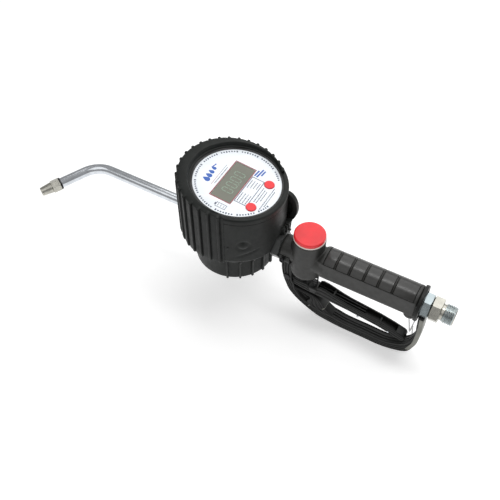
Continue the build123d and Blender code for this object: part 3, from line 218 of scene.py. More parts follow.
def moulded(name, colour, roughness, grain, depth, sheen=0.0, specular=0.5):
    """Moulded rubber or plastic: fine grain, soft dull patches and drifting tone."""
    material, shader, place = new_material(name)
    patches = noise(material, place, 60.0, 3.0)
    tones(material, shader, patches, colour, 0.80, 1.28)
    links = material.node_tree.links
    links.new(spread(material, noise(material, place, 170.0, 5.0), roughness - 0.07, roughness + 0.08),
              shader.inputs["Roughness"])
    fine = relief(material, shader, noise(material, place, grain, 2.0), depth)
    relief(material, shader, noise(material, place, 140.0, 2.0), 0.12, 0.35, fine)
    shader.inputs["Specular IOR Level"].default_value = specular
    shader.inputs["Sheen Weight"].default_value = sheen
    shader.inputs["Sheen Roughness"].default_value = 0.5
    return material


def coated(name, colour, roughness, grain, depth, coat=0.0):
    """Coated casting: orange-peel surface with a satin to semi-gloss coat."""
    material, shader, place = new_material(name)
    tones(material, shader, noise(material, place, 90.0, 4.0), colour, 0.82, 1.25)
    links = material.node_tree.links
    links.new(spread(material, noise(material, place, 260.0, 4.0), roughness - 0.06, roughness + 0.07),
              shader.inputs["Roughness"])
    relief(material, shader, noise(material, place, grain, 3.0), depth, 0.8)
    shader.inputs["Coat Weight"].default_value = coat
    shader.inputs["Coat Roughness"].default_value = 0.18
    return material


def plated(name, colour, roughness, stretch=(1, 1, 1), tint=1.10, depth=0.004, uneven=0.35):
    """Plated or machined metal: turning marks, faint stains and varied gloss."""
    material, shader, place = new_material(name)
    tones(material, shader, noise(material, place, 130.0, 5.0), colour, 0.86, tint)
    shader.inputs["Metallic"].default_value = 1.0
    links = material.node_tree.links
    gloss = noise(material, place, 420.0, 5.0, stretch)
    links.new(spread(material, gloss, roughness * (1 - uneven), roughness * (1 + uneven)),
              shader.inputs["Roughness"])
    relief(material, shader, noise(material, place, 900.0, 3.0, stretch), depth, 0.6)
    return material


def glossy(name, colour, roughness, drift=0.1):
    """Smooth coloured plastic with faint haze and sink marks."""
    material, shader, place = new_material(name)
    tones(material, shader, noise(material, place, 45.0, 3.0), colour, 1.0 - drift, 1.0 + drift)
    links = material.node_tree.links
    links.new(spread(material, noise(material, place, 300.0, 4.0), roughness - 0.05, roughness + 0.06),
              shader.inputs["Roughness"])
    relief(material, shader, noise(material, place, 110.0, 2.0), 0.05, 0.5)
    shader.inputs["Coat Weight"].default_value = 0.15
    shader.inputs["Coat Roughness"].default_value = 0.2
    return material


def finish(name):
    """The finish of that name, made the first time it is asked for."""
    if name in bpy.data.materials:
        return bpy.data.materials[name]
    colours = bpy.context.scene.oil_gun_finishes
    recipes = {
        "boot_rubber": lambda: moulded(name, colours.rubber, 0.46, 2600.0, 0.03, 0.04, 0.20),
        "lever_plastic": lambda: moulded(name, colours.plastic, 0.40, 3000.0, 0.03, 0.0, 0.25),
        "case_plastic": lambda: moulded(name, (0.012, 0.012, 0.012), 0.45, 2200.0, 0.02),
        "handle_coating": lambda: coated(name, colours.coating, 0.47, 1500.0, 0.05),
        "nut_coating": lambda: coated(name, (0.035, 0.037, 0.036), 0.34, 1500.0, 0.02, 0.2),
        "grip_panel": lambda: coated(name, colours.grip, 0.34, 1100.0, 0.004, 0.15),
        "signal_red": lambda: glossy(name, colours.red, 0.42),
        "natural_nylon": lambda: glossy(name, (0.80, 0.74, 0.68), 0.45),
        "dial_film": lambda: glossy(name, colours.dial, 0.34, 0.02),
        "display_glass": lambda: glossy(name, colours.display, 0.16, 0.06),
        "display_digit": lambda: glossy(name, (0.20, 0.27, 0.20), 0.3, 0.05),
        "print_red": lambda: glossy(name, (0.30, 0.03, 0.045), 0.4),
        "print_blue": lambda: glossy(name, (0.02, 0.10, 0.42), 0.4),
        "print_grey": lambda: glossy(name, (0.055, 0.075, 0.13), 0.45),
        "blue_zinc": lambda: plated(name, colours.zinc, 0.26, (6, 1, 1)),
        "nickel_plate": lambda: plated(name, colours.nickel, 0.32, (6, 1, 1)),
        "bright_plate": lambda: plated(name, colours.chrome, 0.17, (0.3, 1, 1), 1.03,
                                       0.0001, 0.12),
        "bright_wire": lambda: plated(name, (0.42, 0.42, 0.42), 0.22),
        "bright_steel": lambda: plated(name, (0.55, 0.55, 0.56), 0.30),
        "black_oxide": lambda: plated(name, (0.045, 0.045, 0.047), 0.42),
        "machined_alloy": lambda: plated(name, (0.60, 0.61, 0.62), 0.38, (1, 1, 5)),
        "nitrile": lambda: moulded(name, (0.012, 0.012, 0.012), 0.55, 2400.0, 0.02),
        "natural_acetal": lambda: glossy(name, (0.72, 0.68, 0.58), 0.42),
        "green_laminate": lambda: glossy(name, (0.02, 0.16, 0.06), 0.3, 0.2),
        "cover_grey": lambda: moulded(name, (0.20, 0.20, 0.175), 0.42, 3000.0, 0.02),
        "cell_sleeve": lambda: glossy(name, (0.06, 0.07, 0.10), 0.3, 0.2),
    }
    return recipes[name]()


SLOT_FINISHES = {
    "rubber_black": "boot_rubber", "black_plastic": "case_plastic", "black_coat": "handle_coating",
    "grip_gloss": "grip_panel", "red_plastic": "signal_red", "clear_ring": "natural_nylon",
    "cast_alu": "machined_alloy", "chrome_tube": "bright_plate", "zinc_blue": "blue_zinc",
    "nickel": "nickel_plate", "steel": "bright_steel", "dark_steel": "black_oxide", "seal": "nitrile",
    "gear_plastic": "natural_acetal", "dial_white": "dial_film", "lcd": "display_glass",
    "board": "green_laminate", "battery": "cell_sleeve",
}
NODE_SLOTS = {part["node"]: part["material_slot"] for part in frame["record"]["subparts"]}
NODE_BODIES = {node: body for body, nodes in frame["record"]["behaviour"]["bodies"].items()
               for node in nodes}


# ---- shaping helpers -----------------------------------------------------------------------------
def rounded(points, radius, steps=4, closed=False):
    """Outline whose corners are rounded; a point may carry its own radius as a third value."""
    outline = []
    for index, point in enumerate(points):
        here = Vector(point[:2])
        corner_r = point[2] if len(point) > 2 else radius
        if corner_r == 0 or not closed and index in (0, len(points) - 1):
            outline.append(here)
            continue
        before = Vector(points[index - 1][:2]) - here
        after = Vector(points[(index + 1) % len(points)][:2]) - here
        reach = corner_r / math.tan(max(0.05, before.angle(after) / 2))
        reach = min(reach, 0.48 * before.length, 0.48 * after.length)
        start = here + before.normalized() * reach
        end = here + after.normalized() * reach
        for step in range(steps + 1):
            share = step / steps
            outline.append(start.lerp(here, share).lerp(here.lerp(end, share), share))
    return outline


def smooth_rows(rows, per_gap):
    """More rows of points between the given ones, on smooth curves through them."""
    made = []
    for index in range(len(rows) - 1):
        before = rows[max(index - 1, 0)]
        after = rows[min(index + 2, len(rows) - 1)]
        for step in range(per_gap):
            t = step / per_gap
            made.append([
                0.5 * (2 * b + (c - a) * t + (2 * a - 5 * b + 4 * c - d) * t * t
                       + (3 * b - a - 3 * c + d) * t ** 3)
                for a, b, c, d in zip(before, rows[index], rows[index + 1], after)
            ])
    made.append(list(rows[-1]))
    return made


def turned(profile, origin, axis, side, steps=ROUND_STEPS, closed=False):
    """Body of revolution of (distance along the axis, radius) points."""
    bm = bmesh.new()
    verts = [bm.verts.new(origin + axis * along + side * radius) for along, radius in profile]
    edges = [bm.edges.new(pair) for pair in zip(verts, verts[1:])]
    if closed:
        edges.append(bm.edges.new((verts[-1], verts[0])))
    bmesh.ops.spin(bm, geom=verts + edges, cent=origin, axis=axis, angle=2 * math.pi, steps=steps,
                   use_merge=True)
    bmesh.ops.remove_doubles(bm, verts=bm.verts, dist=0.0005)
    bmesh.ops.recalc_face_normals(bm, faces=bm.faces)
    return bm


def skinned(rows, closed_rows=False, capped=True):
    """Skin over rows of points, each row a closed ring, as a grid whose points are moved into place."""
    around, along = len(rows[0]), len(rows) if closed_rows else len(rows) - 1
    bm = bmesh.new()
    bmesh.ops.create_grid(bm, x_segments=around, y_segments=along, size=1.0)
    for vert in bm.verts:
        column = round((vert.co.x + 1) / 2 * around) % around
        row = round((vert.co.y + 1) / 2 * along) % len(rows)
        vert.co = rows[row][column]
    bmesh.ops.remove_doubles(bm, verts=bm.verts, dist=0.0005)
    if capped and not closed_rows:
        rim = [edge for edge in bm.edges if edge.is_boundary]
        bmesh.ops.holes_fill(bm, edges=rim, sides=0)
    bmesh.ops.recalc_face_normals(bm, faces=bm.faces)
    return bm


def ring(centre, side, up, radius_at, count=ROUND_STEPS):
    """Ring of points whose radius is a number or a function of the angle."""
    points = []
    for step in range(count):
        angle = 2 * math.pi * step / count
        radius = radius_at(angle) if callable(radius_at) else radius_at
        points.append(centre + side * radius * math.cos(angle) + up * radius * math.sin(angle))
    return points


def hexagon(flats, limit):
    """Radius of a hexagon with corners at angle 0 and 60, cut back to a limit."""
    def radius_at(angle):
        folded = (angle + math.pi / 6) % (math.pi / 3) - math.pi / 6
        return min(limit, flats / 2 / math.cos(math.pi / 6 - abs(folded)))
    return radius_at


def machined(profile, origin, axis, side, flats, hollow=False):
    """Turned body whose parts wider than the flats are a hexagon, with chamfered corners."""
    up = axis.cross(side)
    rows = [ring(origin + axis * along, side, up, hexagon(flats, radius)) for along, radius in profile]
    return skinned(rows, closed_rows=hollow)


def hex_ends(start, end, flats, chamfer, inner=1.0):
    """Profile of a hexagon head whose corners are turned down in even steps at both ends."""
    corner_r = flats / 2 / math.cos(math.pi / 6)
    steps = 5
    cut = [(chamfer * step / steps, flats / 2 * inner + (corner_r + 0.05 - flats / 2 * inner) * step / steps)
           for step in range(steps + 1)]
    return [(start + along, radius) for along, radius in cut] + [
        (end - along, radius) for along, radius in reversed(cut)]


def add_block(bm, centre, x_side, y_side, z_side, size):
    """Box of a size on three directions, added to a mesh."""
    turn = Matrix((x_side * size[0], y_side * size[1], z_side * size[2])).transposed().to_4x4()
    return bmesh.ops.create_cube(bm, size=1.0, matrix=Matrix.Translation(centre) @ turn)["verts"]


def add_ball(bm, centre, radius, segments=24):
    """Round lump, added to a mesh."""
    bmesh.ops.create_uvsphere(bm, u_segments=segments, v_segments=segments // 2, radius=radius,
                              matrix=Matrix.Translation(centre))


def add_rod(bm, start, end, radius, end_radius=None, segments=32):
    """Capped rod or cone between two points, added to a mesh."""
    axis = end - start
    place = Matrix.Translation((start + end) / 2) @ axis.to_track_quat("Z", "Y").to_matrix().to_4x4()
    bmesh.ops.create_cone(bm, cap_ends=True, segments=segments, radius1=radius,
                          radius2=radius if end_radius is None else end_radius,
                          depth=axis.length, matrix=place)


def add_mesh(bm, other):
    """The other mesh, moved into this one."""
    mesh = bpy.data.meshes.new("joined")
    other.to_mesh(mesh)
    other.free()
    bm.from_mesh(mesh)
    bpy.data.meshes.remove(mesh)


def soften(bm, width, angle=math.radians(30), segments=2):
    """Bevel on every edge that is sharper than the angle."""
    edges = [edge for edge in bm.edges if edge.is_manifold and edge.calc_face_angle(0) > angle]
    bmesh.ops.bevel(bm, geom=edges, offset=width, offset_type="OFFSET", affect="EDGES",
                    segments=segments, profile=0.5, material=-1, clamp_overlap=True)


def finished(bm, name, nodes, material, body=None, scale=MM, sharp=SHARP_ANGLE):
    """The shaped mesh as a piece on its body, standing for its CAD nodes."""
    bmesh.ops.scale(bm, vec=(scale, scale, scale), verts=bm.verts)
    mesh = bpy.data.meshes.new(name)
    bm.to_mesh(mesh)
    bm.free()
    mesh.shade_smooth()
    mesh.set_sharp_from_angle(angle=sharp)
    mesh.materials.append(finish(material))
    piece = bpy.data.objects.new(name, mesh)
    bpy.context.scene.collection.objects.link(piece)
    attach(piece, body or NODE_BODIES[nodes[0]])
    if nodes:
        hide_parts(*nodes)
    return piece


def cut_away(piece, cutter):
    """Takes the cutter's space out of a piece, and removes the cutter."""
    mesh = bpy.data.meshes.new("cutter")
    bmesh.ops.scale(cutter, vec=(MM, MM, MM), verts=cutter.verts)
    cutter.to_mesh(mesh)
    cutter.free()
    tool = bpy.data.objects.new("cutter", mesh)
    bpy.context.scene.collection.objects.link(tool)
    modifier = piece.modifiers.new("cut", "BOOLEAN")
    modifier.object = tool
    modifier.operation = "DIFFERENCE"
    modifier.solver = "EXACT"
    apply_modifiers(piece)
    bpy.data.objects.remove(tool)


def apply_modifiers(piece):
    """The piece's mesh as its modifiers leave it."""
    bpy.context.view_layer.update()
    seen = piece.evaluated_get(bpy.context.evaluated_depsgraph_get())
    made = bpy.data.meshes.new_from_object(seen)
    made.name = piece.name
    old = piece.data
    piece.modifiers.clear()
    piece.data = made
    bpy.data.meshes.remove(old)
    made.shade_smooth()
    made.set_sharp_from_angle(angle=SHARP_ANGLE)


def softened_copy(node, material, width, name=None):
    """Copy of a CAD node with its triangles joined and its edges broken."""
    bm = bmesh.new()
    bm.from_mesh(frame["nodes"][node].data)
    bmesh.ops.scale(bm, vec=(1 / MM,) * 3, verts=bm.verts)
    bmesh.ops.remove_doubles(bm, verts=bm.verts, dist=0.002)
    bmesh.ops.dissolve_limit(bm, angle_limit=math.radians(1.0), verts=bm.verts, edges=bm.edges)
    soften(bm, width)
    return finished(bm, name or f"{node}_finished", [node], material)


def on_dial(down, right, height=0.0):
    """Point over the dial, from its centre: down towards the handle, right towards +Y."""
    centre = Vector((METER_X, 0, DIAL_Z))
    return centre + DIAL_DOWN * down + Y_AXIS * right + DIAL_NORMAL * height


# ---- rubber boot ---------------------------------------------------------------------------------
# The lower body stands nearer the spout than the dial does.
BASE_SHIFT = 4.0


class BootSizes(bpy.types.PropertyGroup):
    """Sizes of the rubber boot round the meter."""

    rib_height: FloatProperty(
        name="Rib height", description="How far a hood rib stands out", unit="LENGTH",
        default=0.00178, min=0.0, max=0.004)
    rib_width: FloatProperty(
        name="Rib width", description="Width of a hood rib", unit="LENGTH", default=0.0024,
        min=0.001, max=0.006)
    groove_depth: FloatProperty(
        name="Groove depth", description="Depth of the groove beside each rib", unit="LENGTH",
        default=0.0009, min=0.0, max=0.002)
    rib_pitch: FloatProperty(
        name="Rib pitch", description="Angle between two ribs", subtype="ANGLE",
        default=math.radians(10.9), min=0.1, max=0.6)
    hood_swell: FloatProperty(
        name="Hood swell", description="How much wider the hood is than the case", unit="LENGTH",
        default=0.0056, min=0.003, max=0.01)
    lip_height: FloatProperty(
        name="Lip height", description="Height of the lip over the dial", unit="LENGTH",
        default=0.0024, min=0.0, max=0.005)


def tilt_to_dial(bm, start_z):
    """Shears everything above start_z so that what was level with the dial is parallel to it."""
    for vert in bm.verts:
        if vert.co.z > start_z:
            share = min(1.0, (vert.co.z - start_z) / (DIAL_Z - 12.0 - start_z))
            vert.co.z -= DIAL_SLOPE * (vert.co.x - METER_X) * share


def lean_base(bm):
    """Moves the lower body towards the spout, and blends it into the wall above."""
    for vert in bm.verts:
        vert.co.x -= BASE_SHIFT * max(0.0, min(1.0, (2.0 - vert.co.z) / 14.0))


def boot_wall(sizes):
    """Wall, floor and lip of the boot, with its seam, dimple and crease."""
    lip = sizes.lip_height / MM
    wall_r, lower_r = CASE_R + 3.3, HOUSING_R + 4.4
    outside = rounded([
        (BOOT_BASE, 0), (BOOT_BASE, lower_r, 2.6), (-12.0, lower_r, 6.0), (1.5, wall_r - 0.4, 6.0),
        (20.0, wall_r - 0.35, 0), (45.0, wall_r - 0.35, 0), (DIAL_Z - 5.2, wall_r - 0.35, 0.4),
        (DIAL_Z - 4.6, wall_r - 1.0, 0.3), (DIAL_Z - 4.0, wall_r + 0.1, 0.5),
        (DIAL_Z + lip, wall_r + 0.1, 2.4), (DIAL_Z + lip, DIAL_R + 2.1, 1.2),
        (DIAL_Z + 0.9, DIAL_R + 1.8, 0.3), (DIAL_Z + 1.35, CASE_R + 0.1, 0), (5.0, CASE_R + 0.1, 0),
        (5.0, HOUSING_R + 0.4, 0), (BOOT_BASE + 3.3, HOUSING_R + 0.4, 0), (BOOT_BASE + 3.3, 0),
    ], 1.0)
    dense = []
    for start, end in zip(outside, outside[1:]):
        cuts = max(1, math.ceil(abs(end.x - start.x) / 1.6)) if min(start.y, end.y) > lower_r - 1 else 1
        dense += [start.lerp(end, cut / cuts) for cut in range(cuts)]
    dense.append(outside[-1])
    bm = turned(dense, Vector((METER_X, 0, 0)), Z_AXIS, X_AXIS, 288)
    mark_wall(bm, wall_r)
    lean_base(bm)
    tilt_to_dial(bm, 5.0)
    return bm


def mark_wall(bm, wall_r):
    """Moulded dimple, slanting crease and shallow sink marks in the smooth wall."""
    dimple = (math.radians(-54), 28.0, 3.4)
    crease = ((math.radians(-64), 9.0), (math.radians(-33), 20.0))
    for vert in bm.verts:
        out = Vector((vert.co.x - METER_X, vert.co.y, 0))
        if out.length < wall_r - 1.2 or vert.co.z > DIAL_Z - 6:
            continue
        angle = math.atan2(out.y, out.x)
        away = math.hypot((angle - dimple[0]) * wall_r, vert.co.z - dimple[1])
        push = 1.3 * math.exp(-(away / dimple[2]) ** 2)
        push -= 0.9 * math.exp(-((away - 6.2) / 1.6) ** 2)
        share = (angle - crease[0][0]) / (crease[1][0] - crease[0][0])
        if -0.15 < share < 1.15:
            edge = crease[0][1] + (crease[1][1] - crease[0][1]) * share
            fade = max(0.0, 1 - (2 * share - 1) ** 4)
            push -= 0.8 * fade * math.exp(-((vert.co.z - edge) / 1.5) ** 2)
        vert.co += out.normalized() * push


def boot_fins(sizes):
    """Upright fins on the lower body, towards the handle and round the near side."""
    bm = bmesh.new()
    lower_r = HOUSING_R + 4.4
    for degrees in range(-71, 72, 18):
        angle = math.radians(degrees - 0.25)
        out = Vector((math.cos(angle), math.sin(angle), 0))
        along = Vector((-math.sin(angle), math.cos(angle), 0))
        top = 24.0 if degrees == -71 else -6.0
        foot = Vector((METER_X, 0, 0)) + out * (lower_r - 1.2)
        rows = []
        for z, reach in ((BOOT_BASE + 0.3, 1.6), (BOOT_BASE + 2.0, 2.4), (-14.0, 2.4), (top, 1.0)):
            swell = max(0.0, min(1.0, (z + 12.0) / 13.5)) * (CASE_R + 2.9 - lower_r)
            outline = rounded([(-1.3, 0), (-1.0, reach + 0.9), (1.0, reach + 0.9), (1.3, 0)], 0.6, 3)
            rows.append([foot + out * (swell + point.y) + along * point.x + Z_AXIS * z
                         for point in outline])
        add_mesh(bm, skinned(rows))
    lean_base(bm)
    return bm


def hood_section(angle, sizes, outward, hood_angle_share):
    """One upright section of the hood: (radius from the hood's centre, height over the dial)."""
    shift = span("meter_boot")[0].x + CASE_R + 5.6 + 1.8 - METER_X
    outer = CASE_R + sizes.hood_swell / MM
    centre_x = METER_X + shift
    out = Vector((math.cos(angle), math.sin(angle), 0))
    centre = Vector((centre_x, 0, 0))
    offset = METER_X - centre_x
    mouth = offset * out.x + math.sqrt((CASE_R + 0.1) ** 2 - (offset * out.y) ** 2)
    foot_z = -2.0
    ends = min(1.0, min(hood_angle_share, 1 - hood_angle_share) / 0.035)
    low_crown, high_crown = 3.4 + 1.0 * ends, 3.6 + 3.2 * ends
    if hood_angle_share < 0.5:
        low_crown, high_crown = 4.4, 6.8
    section = rounded([
        (outer - 5.0, foot_z - DIAL_Z + 5.0, 0), (outer - 2.2, foot_z - DIAL_Z, 1.0),
        (outer + outward * 0.5, foot_z - DIAL_Z + 0.6, 0.8),
        (outer + outward, foot_z - DIAL_Z + 6.0, 0), (outer + outward, -30.0, 0),
        (outer + outward, -9.0, 0), (outer + outward, low_crown - 0.2, 0.8),
        (outer - 3.0, low_crown + 0.8, 0.6), (mouth + 0.6, high_crown, 1.3), (mouth, 3.0, 0.6),
        (mouth, 0.4, 0), (mouth, -20.0, 0),
    ], 0.5, 3)
    points = []
    for point in section:
        place = centre + out * point.x
        share = max(0.0, min(1.0, (point.y + DIAL_Z) / (DIAL_Z - 12.0)))
        place.z = DIAL_Z + point.y - DIAL_SLOPE * (place.x - METER_X) * share
        points.append(place)
    return points


def boot_hood(sizes):
    """Ribbed hood round the back of the boot, as sections at the flanks of each rib and groove."""
    start, end = math.radians(40), math.radians(292)
    outer = CASE_R + sizes.hood_swell / MM
    half = sizes.rib_width / MM / 2 / outer
    height, groove = sizes.rib_height / MM, sizes.groove_depth / MM
    stations = [(start, 0.0)]
    count = int((end - start) / sizes.rib_pitch)
    pitch = (end - start) / count
    for rib in range(count):
        middle = start + (rib + 0.5) * pitch
        near = 1.0 if middle > math.radians(190) else 0.35
        stations += [
            (middle - pitch * 0.38, 0.10), (middle - half * 1.5, 0.0), (middle - half, height * 0.85),
            (middle - half * 0.6, height), (middle + half * 0.6, height), (middle + half, height * 0.85),
            (middle + half * 1.35, -groove * near), (middle + half * 2.2, -groove * near),
            (middle + half * 2.7, 0.0),
        ]
    stations.append((end, 0.0))
    rows = [hood_section(angle, sizes, outward, (angle - start) / (end - start))
            for angle, outward in stations]
    return skinned(rows)


def boot_eye():
    """Crescent eye on the handle side, for hanging the gun up, with a web across its back."""
    centre = Vector((METER_X + CASE_R - 1.1, 20.0, 38.5))
    count = 30
    rows = []
    for step in range(count + 1):
        angle = math.radians(-100 + 200 * step / count)
        inner = Vector((6.9 * math.cos(angle), 0, 12.0 * math.sin(angle)))
        outer = Vector((12.3 * math.cos(angle), 0, 20.3 * math.sin(angle)))
        outline = rounded([(0, -2.5), (1, -2.5), (1, 2.5), (0, 2.5)], 0.3, 3, closed=True)
        rows.append([centre + inner.lerp(outer, point.x) + Y_AXIS * point.y for point in outline])
    bm = skinned(rows)
    web = [centre + Vector((10.0 * math.cos(math.radians(angle)), 1.6, 17.0 * math.sin(math.radians(angle))))
           for angle in range(-90, 91, 10)]
    back = [point + Vector((0, 0.8, 0)) for point in web]
    rows = [[front, rear, centre + Vector((-6, 2.4, 0)), centre + Vector((-6, 1.6, 0))]
            for front, rear in zip(web, back)]
    add_mesh(bm, skinned(rows))
    return bm


def eye_bracket():
    """Ribbed bracket between the eye and the coupling nut."""
    bm = bmesh.new()
    wall_x = METER_X + CASE_R + 2.9
    upright = Vector((0.06, 0, 0.998)).normalized()
    across = Vector((0.998, 0, -0.06)).normalized()
    add_block(bm, Vector((wall_x - 0.5, 8.0, 16.0)), across, Y_AXIS, upright, (3.6, 17.0, 16.0))
    for y, deep in ((1.0, 5.4), (6.0, 6.4), (11.0, 6.4), (16.0, 5.4)):
        add_block(bm, Vector((wall_x + 0.8, y, 17.5)), across, Y_AXIS, upright, (deep, 1.8, 15.0))
    add_block(bm, Vector((wall_x + 1.6, 7.0, 11.4)), across, Y_AXIS, upright, (6.6, 15.0, 2.2))
    add_block(bm, Vector((wall_x + 1.4, 12.5, 23.5)), across, Y_AXIS, upright, (6.0, 9.0, 2.2))
    soften(bm, 0.5)
    return bm


class OILGUN_OT_boot(bpy.types.Operator):
    """Rubber boot: wall and lip, ribbed hood, lower fins and hanging eye"""

    bl_idname = "oil_gun.boot"
    bl_label = "Rubber boot"
    bl_options = {"REGISTER", "UNDO"}

    def execute(self, context):
        sizes = context.scene.oil_gun_boot
        body = NODE_BODIES["meter_boot"]
        wall = finished(boot_wall(sizes), "boot_wall", ["meter_boot"], "boot_rubber")
        port = bmesh.new()
        nut_r = (span("coupling_nut")[1].y - span("coupling_nut")[0].y) / 2 + 1.2
        add_rod(port, Vector((METER_X + 30, 0, 0)), Vector((METER_X + 80, 0, 0)), nut_r, segments=64)
        add_rod(port, Vector((METER_X - 80, 0, 0)), Vector((METER_X - 30, 0, 0)), 6.4, segments=48)
        cut_away(wall, port)
        for name, shape in (("boot_hood", boot_hood(sizes)), ("boot_fins", boot_fins(sizes)),
                            ("boot_eye", boot_eye()), ("eye_bracket", eye_bracket())):
            piece = finished(shape, name, [], "boot_rubber", body)
        return {"FINISHED"}


# ---- dial ----------------------------------------------------------------------------------------
class DialSizes(bpy.types.PropertyGroup):
    """Sizes of what is printed on the dial and of its buttons."""

    window_width: FloatProperty(
        name="Window width", description="Display window, down the dial", unit="LENGTH",
        default=0.0231, min=0.01, max=0.04)
    window_length: FloatProperty(
        name="Window length", description="Display window, across the dial", unit="LENGTH",
        default=0.0537, min=0.02, max=0.08)
    print_thickness: FloatProperty(
        name="Print thickness", description="Height of the printed marks", unit="LENGTH",
        default=0.00006, min=0.00001, max=0.0005)
    mark_count: IntProperty(
        name="Rim marks", description="Number of small marks near the dial's rim", default=96,
        min=12, max=200)


WINDOW_DOWN, WINDOW_RIGHT = -3.6, -2.0
SEGMENTS = {"0": "abcdef", "1": "bc", "2": "abged", "3": "abgcd", "4": "fgbc", "5": "afgcd",
            "6": "afgedc", "7": "abc", "8": "abcdefg", "9": "abcdfg"}


def add_mark(bm, down, right, size_down, size_right, height, thickness, turn=0.0):
    """Flat printed bar on the dial, turned about the dial's normal."""
    along = DIAL_DOWN * math.cos(turn) + Y_AXIS * math.sin(turn)
    across = Y_AXIS * math.cos(turn) - DIAL_DOWN * math.sin(turn)
    add_block(bm, on_dial(down, right, height + thickness / 2), along, across, DIAL_NORMAL,
              (size_down, size_right, thickness))


def add_frame_lines(bm, down, right, size_down, size_right, line, height, thickness):
    """Printed rectangle of lines."""
    for side in (-1, 1):
        add_mark(bm, down + side * size_down / 2, right, line, size_right + line, height, thickness)
        add_mark(bm, down, right + side * size_right / 2, size_down - line, line, height, thickness)


def add_digit(bm, character, down, right, width, tall, line, height, thickness):
    """Seven-segment digit, upright for a reader at the handle."""
    half = tall / 2
    places = {
        "a": (-half, 0, line, width - line), "g": (0, 0, line, width - line),
        "d": (half, 0, line, width - line), "f": (-half / 2, -width / 2, half - line, line),
        "b": (-half / 2, width / 2, half - line, line), "e": (half / 2, -width / 2, half - line, line),
        "c": (half / 2, width / 2, half - line, line),
    }
    for segment in SEGMENTS[character]:
        segment_down, segment_right, size_down, size_right = places[segment]
        add_mark(bm, down + segment_down, right + segment_right, size_down, size_right, height, thickness)


def small_print(bm, down, right, length, seed, thickness):
    """Row of short dashes that stands for a line of small print."""
    dashes = random.Random(seed)
    reached = 0.0
    while reached < length:
        dash = min(dashes.uniform(0.7, 2.6), length - reached)
        add_mark(bm, down, right + reached + dash / 2, 0.85, dash, 0.0, thickness)
        reached += dash + 0.55


def add_drop(bm, down, right, size, thickness):
    """Printed oil drop."""
    place = Matrix.Translation(on_dial(down, right, thickness / 2))
    turn = Matrix((DIAL_DOWN, Y_AXIS, DIAL_NORMAL)).transposed().to_4x4()
    shape = bmesh.ops.create_cone(bm, cap_ends=True, segments=40, radius1=size, radius2=size,
                                  depth=thickness, matrix=Matrix.Identity(4))["verts"]
    for vert in shape:
        if vert.co.x < 0:
            vert.co.x *= 1.9 - 0.9 * abs(vert.co.y) / size
        vert.co = place @ turn @ vert.co


def dial_prints(sizes):
    """The dial's grey, blue and red prints, each as its own mesh."""
    thick = sizes.print_thickness / MM
    grey, blue, red = bmesh.new(), bmesh.new(), bmesh.new()
    width, length = sizes.window_width / MM, sizes.window_length / MM
    add_frame_lines(red, WINDOW_DOWN, WINDOW_RIGHT, width + 0.9, length + 0.9, 0.9, 0.0, thick)
    add_mark(red, -21.0, -8.0, 0.35, 18.0, 0.0, thick)
    add_mark(grey, -21.0, 8.0, 0.35, 14.0, 0.0, thick)
    small_print(grey, -18.6, -14.0, 26.0, 3, thick)
    for step in range(sizes.mark_count):
        if step % 8 == 7:
            continue
        turn = 2 * math.pi * step / sizes.mark_count
        if abs((turn + 0.25) % (2 * math.pi) - 0.25) < 0.62:
            continue
        size = 2.2 if step % 4 == 0 else 1.6
        add_mark(grey, 43.2 * math.cos(turn), 43.2 * math.sin(turn), size, 1.5, 0.0, thick, turn)
    for index in range(4):
        add_drop(blue, -27.5 - 0.5 * index, -13.5 + 5.6 * index, 2.9 - 0.3 * index, thick)
    add_mark(blue, -31.5, 6.5, 1.3, 6.5, 0.0, thick, math.radians(-12))
    for row, (start, run) in enumerate(((11.0, 9.0), (14.0, 13.0), (17.0, 8.0))):
        add_mark(blue, start, 22.0 + row * 1.6, 1.7, run, 0.0, thick, math.radians(-6))
    table_down, table_right, table_deep, table_long = 16.6, -3.8, 14.0, 38.0
    add_frame_lines(grey, table_down, table_right, table_deep, table_long, 0.75, 0.0, thick)
    for row in range(4):
        small_print(grey, 11.9 + 3.1 * row, table_right - 17.6, 13.0, 20 + row, thick)
        small_print(grey, 11.9 + 3.1 * row, table_right + 3.0 + row, 12.0 - row, 30 + row, thick)
    add_frame_lines(grey, 2.0, -36.3, 11.0, 5.4, 0.5, 0.0, thick)
    add_mark(grey, -4.4, -36.3, 1.4, 2.6, 0.0, thick)
    for bar in range(3):
        add_mark(grey, -1.2 + 3.2 * bar, -36.3, 0.5, 3.0, 0.0, thick)
    for row, (down, right, run) in enumerate(((27.0, -13.5, 22.0), (29.6, -13.5, 20.0), (32.2, -9.0, 14.0),
                                              (36.5, -20.0, 34.0), (38.8, -14.0, 24.0))):
        small_print(grey, down, right, run, 40 + row, thick)
    return grey, blue, red


def add_button(node, material):
    """Button with a shallow dished top and a collar under the dial."""
    low, high = span(node)
    centre = (low + high) / 2
    place = centre - Vector((METER_X, 0, DIAL_Z))
    down, right = place.dot(DIAL_DOWN), place.y
    radius = (high.y - low.y) / 2 - 1.5
    profile = rounded([
        (-5.7, 0), (-5.7, 2.0, 0.2), (-3.0, 2.0, 0), (-3.0, radius + 1.5, 0.2), (-1.4, radius + 1.5, 0.2),
        (-1.4, radius, 0), (1.0, radius, 0.45), (0.72, radius * 0.55, 1.0), (0.68, 0),
    ], 0.2)
    finished(turned(profile, on_dial(down, right), DIAL_NORMAL, DIAL_DOWN, 64), f"{node}_finished",
             [node], material)


